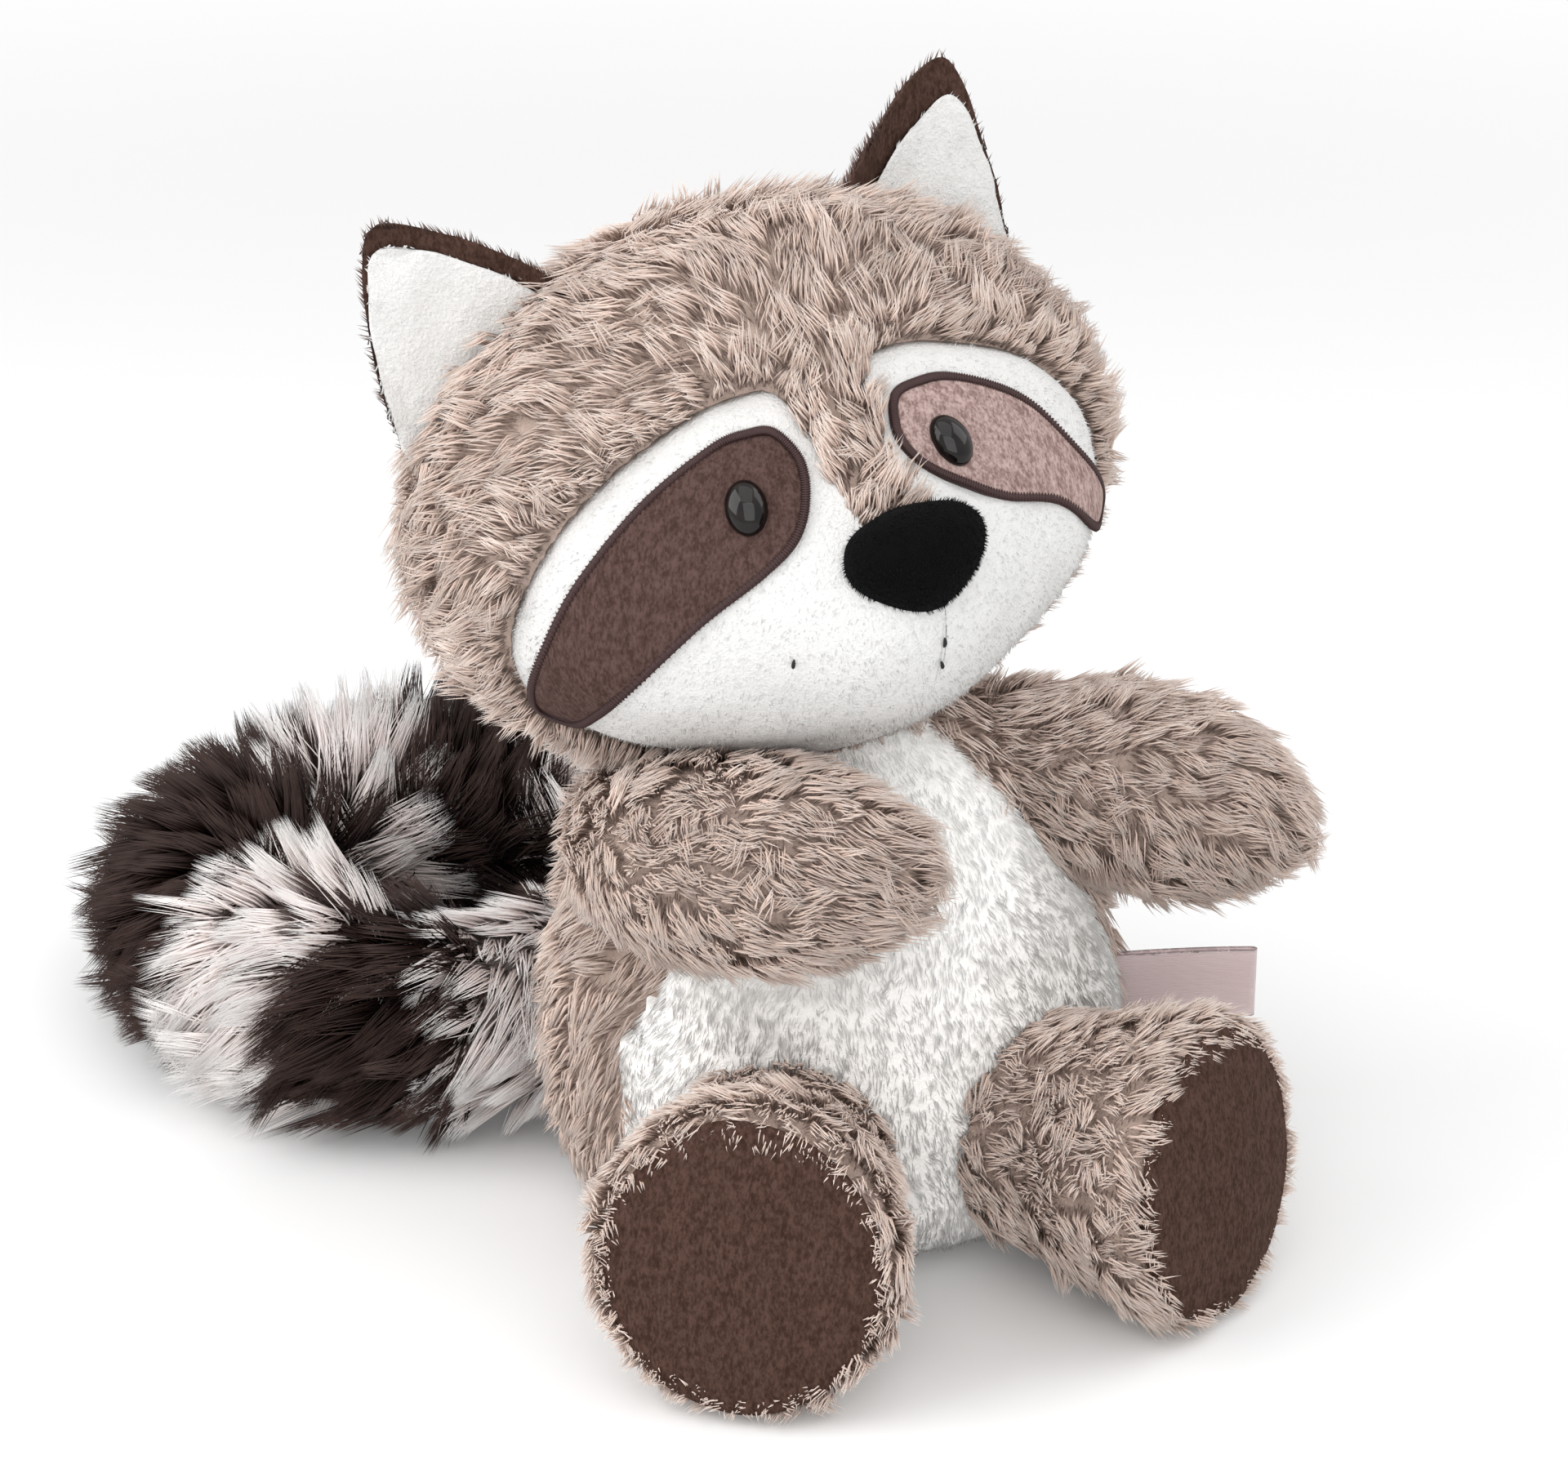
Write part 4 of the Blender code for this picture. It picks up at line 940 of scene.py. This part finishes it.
def cord_round(frames, wide, tall, sides):
    """Closed band along a line: a ring of profile circles, spun and then laid on the line."""
    bm = bmesh.new()
    bmesh.ops.create_circle(bm, segments=sides, radius=0.3)
    bmesh.ops.rotate(bm, verts=bm.verts, cent=(0, 0, 0), matrix=Matrix.Rotation(math.pi / 2, 3, "X"))
    bmesh.ops.translate(bm, verts=bm.verts, vec=(1, 0, 0))
    bmesh.ops.spin(
        bm, geom=bm.edges, cent=(0, 0, 0), axis=(0, 0, 1), angle=2 * math.pi, steps=len(frames), use_merge=True
    )
    for vert in bm.verts:
        step = round(math.atan2(vert.co.y, vert.co.x) / (2 * math.pi) * len(frames)) % len(frames)
        spot, out, across, _ = frames[step]
        reach = (math.hypot(vert.co.x, vert.co.y) - 1) / 0.3
        vert.co = spot + across * (wide * reach) + out * (tall * vert.co.z / 0.3)
    bmesh.ops.remove_doubles(bm, verts=bm.verts, dist=0.00001)
    bmesh.ops.recalc_face_normals(bm, faces=bm.faces)
    return bm


def stamp(shape, places):
    """Many copies of a small shape in one mesh, each at its own matrix."""
    bm = bmesh.new()
    for place in places:
        mark = len(bm.verts)
        bm.from_mesh(shape)
        bm.verts.ensure_lookup_table()
        bmesh.ops.transform(bm, matrix=place, verts=bm.verts[mark:])
    return bm


def thread_shape():
    """Short round thread of unit length, thin at its ends."""
    bm = bmesh.new()
    bmesh.ops.create_uvsphere(bm, u_segments=5, v_segments=4, radius=1)
    return meshed("thread", bm)


def make_patches():
    thread = thread_shape()
    for word, side in SIDES.items():
        inner = widen(PATCH_EDGE[word], -TRIM_TURN * 0.3)
        lift = FACE_PILE + PATCH_PILE
        patch = ball(pad_form(inner, PATCH_MIDDLE[word], side, lift, 10, FACE_PILE * 0.95), 96, 36)
        piece("eye_patch_cloth_" + word, patch, "patch_velour_" + word, "eye_patch_" + word, "brown_velour")
        middle = widen(PATCH_EDGE[word], -TRIM_TURN / 2)
        frames = outline_frames(middle, side, FACE_PILE + 0.0004, 280)
        band = cord_round(frames[::2], 0.0009, 0.0009, 6)
        fine = []
        for spot, out, across, ahead in frames:
            turn = Matrix((across, ahead, out)).transposed().to_4x4()
            size = Matrix.Diagonal((0.00115, 0.00032, 0.00045, 1))
            fine.append(Matrix.Translation(spot + out * 0.0006) @ turn @ size)
        stitches = stamp(thread, fine)
        stitches.from_mesh(meshed("band_" + word, band))
        piece("eye_patch_stitching_" + word, stitches, "brown_stitching", "eye_patch_trim_" + word)
        make_eye(word, side)


def make_eye(word, side):
    spot, out = head_frame(compass(*EYE_AT[word], side), FACE_PILE + PATCH_PILE + 0.0002)
    up = head_place.to_3x3() @ Vector((0, 0, 1))
    across = out.cross(up).normalized()
    up = across.cross(out) * -1

    def form(way):
        rise = way.z * (EYE_RISE if way.z > 0 else 0.0008)
        return spot + across * (way.x * EYE_HALF[0]) + up * (way.y * EYE_HALF[1]) + out * rise

    piece("eye_dome_" + word, ball(form, 40, 24), "black_eye_plastic", "eye_" + word)


def make_nose():
    spin = head_place.to_3x3()
    low = min(
        (head_frame(compass(0, elevation), FACE_PILE)[0] for elevation in np.arange(-20, 5, 0.25)),
        key=lambda spot: abs((head_place.inverted() @ spot).z + NOSE_LOW),
    )

    def form(way):
        wide = NOSE_HALF[0] * (1 + NOSE_TAPER * way.z) * (1 - 0.10 * max(0, -way.z) ** 2)
        top = NOSE_HALF[2] * (0.94 if way.z > 0 else 1.0)
        return low + spin @ Vector((way.x * wide + NOSE_ASIDE, way.y * NOSE_HALF[1], way.z * top))

    nose = rumpled(ball(form, 48, 32), 0.012, 0.00025, 31)
    roots, outs = scatter(nose, 2.2, 32)
    keep = (roots - np.array(low)) @ np.array(spin @ Vector((0, -1, 0))) > -0.002
    plush("nose_pile", roots[keep], outs[keep], spin @ Vector((0, 0, -1)), 33, "black_velvet_pile", "nose",
          "black_velvet", long=0.0011, thick=0.00020, lift=0.7, per_lock=4, swing=0.5, gather=0.1)
    piece("nose_velvet", nose, "black_velvet", "nose")


def make_mouth():
    for word, azimuth, elevation, slope in MOUTH:
        spot, out = head_frame(compass(azimuth, elevation), FACE_PILE + THREAD * 1.2)
        up = head_place.to_3x3() @ Vector((0, 0, 1))
        across = out.cross(up).normalized() * -1
        up = out.cross(across)
        turn = math.radians(slope)
        way = across * math.cos(turn) + up * math.sin(turn)
        other = out.cross(way)

        def form(ball_way):
            arc = (1 - ball_way.z**2) * THREAD * 0.8
            long = way * (ball_way.z * STITCH / 2)
            return spot + long + other * (ball_way.x * THREAD) + out * (ball_way.y * THREAD + arc)

        piece("mouth_thread_" + word, ball(form, 12, 12), "black_thread", "mouth_stitch_" + word)


def ear_outline(turn):
    """Edge of the ear in its own flat plane: a broad foot, straight sides and a round tip."""
    x, z = math.cos(turn), math.sin(turn)
    if z < 0:
        return x * EAR_WIDE / 2, z * EAR_TALL * 0.22
    narrow = 1 - 0.62 * z**1.15
    return x * EAR_WIDE / 2 * narrow * (1 + 0.25 * z), z * EAR_TALL


def ear_form(place, side, scale, front, back, shift, lean):
    """Shell of an ear: hollow in front by the dish and full behind."""

    def form(way):
        polar = math.acos(max(-1, min(1, way.y)))
        reach = math.sin(polar) if abs(way.y) > 0.5 else 1 - 0.134 * (way.y / 0.5) ** 2
        x, z = ear_outline(math.atan2(way.z, way.x))
        x, z = x * reach * scale + side * shift, z * reach * scale
        dish = EAR_DISH * (1 - min(1, abs(x) / (EAR_WIDE / 2)) ** 2)
        fall = (1 - reach**3) if way.y < 0 else math.sqrt(max(0, 1 - reach**2))
        depth = (front if way.y < 0 else back) * fall + lean
        return place @ Vector((x, depth + dish, z))

    return form


def make_ear(word, side):
    place = (
        head_place
        @ Matrix.Translation((side * EAR_OUT, EAR_BACK, EAR_BASE))
        @ Matrix.Rotation(math.radians(side * EAR_LEAN), 4, "Y")
        @ Matrix.Rotation(math.radians(side * EAR_TURN), 4, "Z")
    )
    scale, shift = EAR_FRONT[word]
    back = rumpled(ball(ear_form(place, side, 1.04, 0.0, EAR_PUFF, 0.0, 0.0), 48, 28), 0.018, 0.0003, 41)
    front = rumpled(ball(ear_form(place, side, scale, -0.0026, 0.0004, shift, -0.0009), 48, 28), 0.012, 0.0005, 42)
    turn = np.array(place.to_3x3())
    roots, outs = scatter(back, 0.9, 45)
    own = (roots - np.array(place.translation)) @ turn
    rim = (own[:, 1] < 0.0085) & (outs @ turn[:, 1] > -0.1)
    plush("ear_back_pile_" + word, roots[rim], outs[rim], turn[:, 2], 46, "ear_rim_fur", "ear_back_" + word,
          "brown_velour", long=0.0030, thick=0.00022, lift=0.5, per_lock=6, swing=0.4, gather=0.3)
    piece("ear_back_cloth_" + word, back, "brown_velour", "ear_back_" + word)
    roots, outs = scatter(front, 1.1, 43)
    keep = outs @ turn[:, 1] < -0.2
    plush("ear_front_pile_" + word, roots[keep], outs[keep], turn[:, 2], 44, "white_plush_pile", "ear_front_" + word,
          "white_face_plush", long=0.0016, thick=0.00022, lift=0.4, per_lock=5, swing=0.5, gather=0.25)
    piece("ear_front_cloth_" + word, front, "white_face_plush", "ear_front_" + word)


# ---------------------------------------------------------------- body and limbs


def belly_share(points):
    """Above 0 on the belly, below 0 on the back, in degrees from the seam."""
    turn = np.degrees(np.arctan2(np.abs(points[:, 0]), -(points[:, 1] - BELLY_BACK)))
    half = np.array([blend(BELLY_HALF, z)[0] for z in points[:, 2]])
    return half - turn


def make_body(head_tree):
    solid = ball(body_skin, 72, 48)
    tree = BVHTree.FromBMesh(raised(solid.copy(), -BODY_DEEP))

    def belly_rise(points):
        return np.where(belly_share(points) > 0, -BELLY_DEEP, -BELLY_BACK_DEEP)

    def half(name, cloth, density, sign, seed, look, backing, **hairs):
        roots, outs = scatter(cloth, density, seed)
        keep = (belly_share(roots) * sign > 0) & (roots[:, 2] > 0.004) & clear_of(roots, head_tree)
        naps = np.tile(np.array([0, 0, -1.0]), (keep.sum(), 1))
        coat(name + "_pile", roots[keep], outs[keep], naps, seed + 2, look, name + "_panel", **hairs)
        piece(name + "_cloth", cloth, backing, name + "_panel", look)

    half("back", raised(solid.copy(), -BACK_DEEP), 0.42, -1, 50, "taupe_fur", "taupe_backing", long=0.0100,
         thick=0.00032, lift=0.52, per_lock=15, swing=0.6, gather=0.45)
    belly = rumpled(raised(solid.copy(), belly_rise), 0.016, 0.0005, 50)
    half("belly", belly, 1.35, 1, 52, "white_belly_fur", "white_backing", long=0.0042, thick=0.00027, lift=0.20,
         per_lock=9, swing=0.40, gather=0.20, rings=0, arch=0.08, vary=0.06)
    return tree


def outside(roots, outs, blocks):
    """Keeps the hairs that don't start inside the body or the head."""
    for block in blocks:
        keep = clear_of(roots, block, -0.001)
        roots, outs = roots[keep], outs[keep]
    return roots, outs


def make_arm(word, blocks):
    line = ARM_LINE[word]
    cloth = ball(arm_skin(line, SLEEVE_DEEP), 40, 40)
    roots, outs = outside(*scatter(cloth, 1.15, 61), blocks)
    parts = [step / 40 for step in range(41)]
    middles = np.array([along(line, part) for part in parts])
    nearest = np.argmin(np.linalg.norm(roots[:, None] - middles[None], axis=2), axis=1)
    aheads = np.array([line_frame(line, part)[3] for part in parts])
    naps = aheads[nearest] + np.array([0, 0, -0.25])
    coat("arm_pile_" + word, roots, outs, naps, 62 + len(word), "taupe_fur", "arm_" + word, long=0.0098,
         thick=0.00025, lift=0.46, per_lock=16, swing=0.65, gather=0.42)
    piece("arm_cloth_" + word, cloth, "taupe_backing", "arm_" + word, "taupe_fur")


def make_leg(word, side, blocks):
    cloth = ball(leg_skin(side, SLEEVE_DEEP), 48, 48)
    roots, outs = outside(*scatter(cloth, 1.05, 71), blocks)
    centre, across, up, ahead = (np.array(way) for way in leg_frame(side, 1))
    own = roots - centre
    forward = own @ ahead
    radius = np.hypot(own @ across / SOLE_HALF[0], own @ up / SOLE_HALF[1])
    keep = ~((forward > -0.004) & (radius < 0.94))
    roots, outs, own, forward = roots[keep], outs[keep], own[keep], forward[keep]
    radial = unit(own - forward[:, None] * ahead)
    lip = np.clip((forward + 0.006) / 0.005, 0, 1)
    naps = np.tile(ahead, (len(roots), 1)) + radial * lip[:, None] * 0.35
    coat("leg_pile_" + word, roots, outs, naps, 72 + len(word), "taupe_fur", "leg_" + word, long=0.0090 - 0.0032 * lip,
         thick=0.00026, lift=0.46 + 0.10 * lip, per_lock=15, swing=0.65, gather=0.42)
    piece("leg_cloth_" + word, cloth, "taupe_backing", "leg_" + word, "taupe_fur")
    make_sole(word, side)


def make_sole(word, side):
    centre, across, up, ahead = leg_frame(side, 1)

    def form(way):
        reach = math.sqrt(max(0, 1 - way.z**2))
        turn = math.atan2(way.y, way.x)
        rise = SOLE_DOME * way.z**0.8 if way.z > 0 else SOLE_THICK * way.z
        spot = centre + ahead * rise
        spot += across * (SOLE_HALF[0] * SOLE_PILE * reach * math.cos(turn))
        spot += up * (SOLE_HALF[1] * SOLE_PILE * reach * math.sin(turn))
        spot.z = max(spot.z, 0.0012)
        return spot

    sole = rumpled(ball(form, 72, 40), 0.02, 0.0003, 81)
    piece("sole_velour_" + word, sole, "brown_velour", "sole_" + word)


def make_tail(body_tree):
    starts = [TAIL_ROOT] + BAND_ENDS[:-1]
    for band, (start, end) in enumerate(zip(starts, BAND_ENDS)):
        name = "tail_band_%d" % (band + 1)
        look, backing = ("light_tail_fur", "pale_backing") if band % 2 else ("dark_tail_fur", "dark_backing")
        start = start - blend(TAIL_SWEEP, start)[0] / tail_long if band else 0.0
        end -= (TIP_SHORT if end == 1 else blend(TAIL_SWEEP, end)[0]) / tail_long
        cloth = ball(band_skin(start, end, lambda part: TAIL_BACKING), 24, 16)
        roots, outs = scatter(cloth, 1.35, 90 + band)
        keep = clear_of(roots, body_tree) & (roots[:, 2] > 0.0125)
        roots, outs = roots[keep], outs[keep]
        parts = [start + (end - start) * step / 16 for step in range(17)]
        middles = [line_frame(tail_line, part) for part in parts]
        spots = np.array([here for here, _, _, _ in middles])
        nearest = np.argmin(np.linalg.norm(roots[:, None] - spots[None], axis=2), axis=1)
        naps, reach, lift = [], [], []
        for part, (_, side, _, ahead) in zip(parts, middles):
            along_tail, outwards, upwards = blend(TAIL_COMB, part)
            naps.append(ahead * along_tail - side * outwards + Vector((0, 0, upwards)))
            reach.append(blend(TAIL_SIZE, part)[0] - TAIL_BACKING + TAIL_WISP)
            lift.append(blend(TAIL_LIFT, part)[0])
        naps, reach, lift = np.array(naps)[nearest], np.array(reach)[nearest], np.array(lift)[nearest]
        outs = unit(outs + unit(roots - spots[nearest]))
        coat(name + "_pile", roots, outs, naps, 91 + band, look, name, long=reach / (lift + 0.08), thick=0.00026,
             lift=lift, per_lock=32, swing=0.26, gather=0.66, arch=0.12, stray=0.08, vary=0.07)
        piece(name + "_cloth", cloth, backing, name, look)


def make_label():
    """Ribbon folded double, with its loose ends in the side seam."""
    turn = math.radians(LABEL_AZIMUTH)
    way = Vector((math.sin(turn), -math.cos(turn), 0))
    across = Vector((math.cos(turn), math.sin(turn), 0))
    start = 0.060
    run = BODY_PROFILE[4][1] + LABEL_LONG - start
    bend = LABEL_FOLD / 2 + LABEL_THICK / 2
    whole = 2 * (run - bend) + math.pi * bend
    bm = bmesh.new()
    bmesh.ops.create_grid(bm, x_segments=64, y_segments=12, size=0.5)
    for vert in bm.verts:
        part = (vert.co.x + 0.5) * whole
        if part < run - bend:
            out, wide = start + part, -bend
        elif part > whole - (run - bend):
            out, wide = start + whole - part, bend
        else:
            angle = (part - (run - bend)) / bend - math.pi / 2
            out, wide = start + run - bend + bend * math.cos(angle), bend * math.sin(angle)
        lean = 0.0012 * math.sin((out - start) / run * 2.4)
        vert.co = way * out + across * (wide + lean) + Vector((0, 0, LABEL_HEIGHT + vert.co.y * LABEL_TALL))
    bmesh.ops.solidify(bm, geom=bm.faces, thickness=LABEL_THICK)
    bmesh.ops.recalc_face_normals(bm, faces=bm.faces)
    label = piece("label_loop", bm, "label_ribbon", "label")


# ---------------------------------------------------------------- toy, floor, light and camera

make_face()
head_skin_tree = make_head_fur()
make_patches()
make_nose()
make_mouth()
for word, side in SIDES.items():
    make_ear(word, side)
body_skin_tree = make_body(head_skin_tree)
for word in SIDES:
    make_arm(word, (body_skin_tree, head_skin_tree))
for word, side in SIDES.items():
    make_leg(word, side, (body_skin_tree,))
make_tail(body_skin_tree)
make_label()

for node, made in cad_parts.items():
    if "filling" in node or "washer" in node:
        made.data.materials.clear()
        made.data.materials.append(finishes["polyester_filling" if "filling" in node else "washer_plastic"])


def seen_plainly(tree):
    """1 for rays from the camera and for mirrored or refracted ones, 0 for light that falls on the toy."""
    path = add(tree, "ShaderNodeLightPath")
    mirrored = maths(tree, "MAXIMUM", path.outputs["Is Glossy Ray"], path.outputs["Is Transmission Ray"])
    return maths(tree, "MAXIMUM", path.outputs["Is Camera Ray"], mirrored)


def blank(owner):
    """Empty node tree of a material or a world."""
    owner.use_nodes = True
    owner.node_tree.nodes.clear()
    return owner.node_tree


def make_floor():
    """Pale floor that keeps the toy's shadow and fades to plain white far away."""
    made = bpy.data.materials.new("pale_floor")
    tree = blank(made)
    shade = add(tree, "ShaderNodeBsdfDiffuse", Color=(0.78, 0.78, 0.78, 1))
    glow = add(tree, "ShaderNodeEmission", Color=(1, 1, 1, 1), Strength=0.06)
    both = add(tree, "ShaderNodeAddShader", i0=shade.outputs[0], i1=glow.outputs[0])
    white = add(tree, "ShaderNodeEmission", Color=(1, 1, 1, 1), Strength=1.0)
    away = add(tree, "ShaderNodeVectorMath", i0=add(tree, "ShaderNodeTexCoord").outputs["Object"])
    away.operation = "LENGTH"
    fade = add(tree, "ShaderNodeMapRange", Value=away.outputs["Value"], From_Min=0.4, From_Max=1.3)
    fade.interpolation_type = "SMOOTHSTEP"
    ground = add(tree, "ShaderNodeMixShader", i0=fade.outputs[0], i1=both.outputs[0], i2=white.outputs[0])
    seen = add(tree, "ShaderNodeMixShader", i0=seen_plainly(tree), i1=shade.outputs[0], i2=ground.outputs[0])
    add(tree, "ShaderNodeOutputMaterial", i0=seen.outputs[0])
    bm = bmesh.new()
    bmesh.ops.create_grid(bm, x_segments=1, y_segments=1, size=6)
    mesh = meshed("floor", bm)
    mesh.materials.append(made)
    placed("floor", mesh)


def make_world():
    world = bpy.data.worlds.new("studio")
    bpy.context.scene.world = world
    tree = blank(world)
    room = add(tree, "ShaderNodeBackground", Color=(1, 1, 1, 1), Strength=0.60)
    white = add(tree, "ShaderNodeBackground", Color=(1, 1, 1, 1), Strength=1.0)
    mix = add(tree, "ShaderNodeMixShader", i0=seen_plainly(tree), i1=room.outputs[0], i2=white.outputs[0])
    add(tree, "ShaderNodeOutputWorld", i0=mix.outputs[0])


TARGET = Vector((-0.01057, 0.00427, 0.1055)) + SEAT
CAMERA_AWAY = 0.9
CAMERA_TURN = -22
CAMERA_HEIGHT = 23
LENS = 95.9

# Lamps: azimuth and elevation in degrees, then distance, size and power.
LAMPS = {
    "front window": (-14, 24, 1.5, 1.3, 10.5),
    "left window": (-95, 30, 1.3, 1.2, 13.5),
    "right window": (78, 40, 1.4, 1.0, 6),
    "overhead": (-30, 74, 1.4, 1.4, 7),
}


def aimed(eye, target):
    """Matrix of a lamp or camera at a place that looks at a point."""
    ahead = (target - eye).normalized()
    right = ahead.cross(Vector((0, 0, 1))).normalized()
    up = right.cross(ahead)
    return Matrix.Translation(eye) @ Matrix((right, up, -ahead)).transposed().to_4x4()


def make_lamp(name, azimuth, elevation, away, size, power):
    lamp = bpy.data.lights.new(name, "AREA")
    lamp.size = size
    lamp.energy = power
    placed(name, lamp).matrix_world = aimed(TARGET + compass(azimuth, elevation) * away, TARGET)


def make_camera():
    lens = bpy.data.cameras.new("camera")
    lens.lens = LENS
    lens.sensor_width = 36
    lens.sensor_fit = "HORIZONTAL"
    lens.clip_start = 0.01
    made = placed("camera", lens)
    made.matrix_world = aimed(TARGET + compass(CAMERA_TURN, CAMERA_HEIGHT) * CAMERA_AWAY, TARGET)
    bpy.context.scene.camera = made


make_floor()
make_world()
for name, lamp in LAMPS.items():
    make_lamp(name, *lamp)
make_camera()
bpy.context.scene.view_settings.view_transform = "Standard"
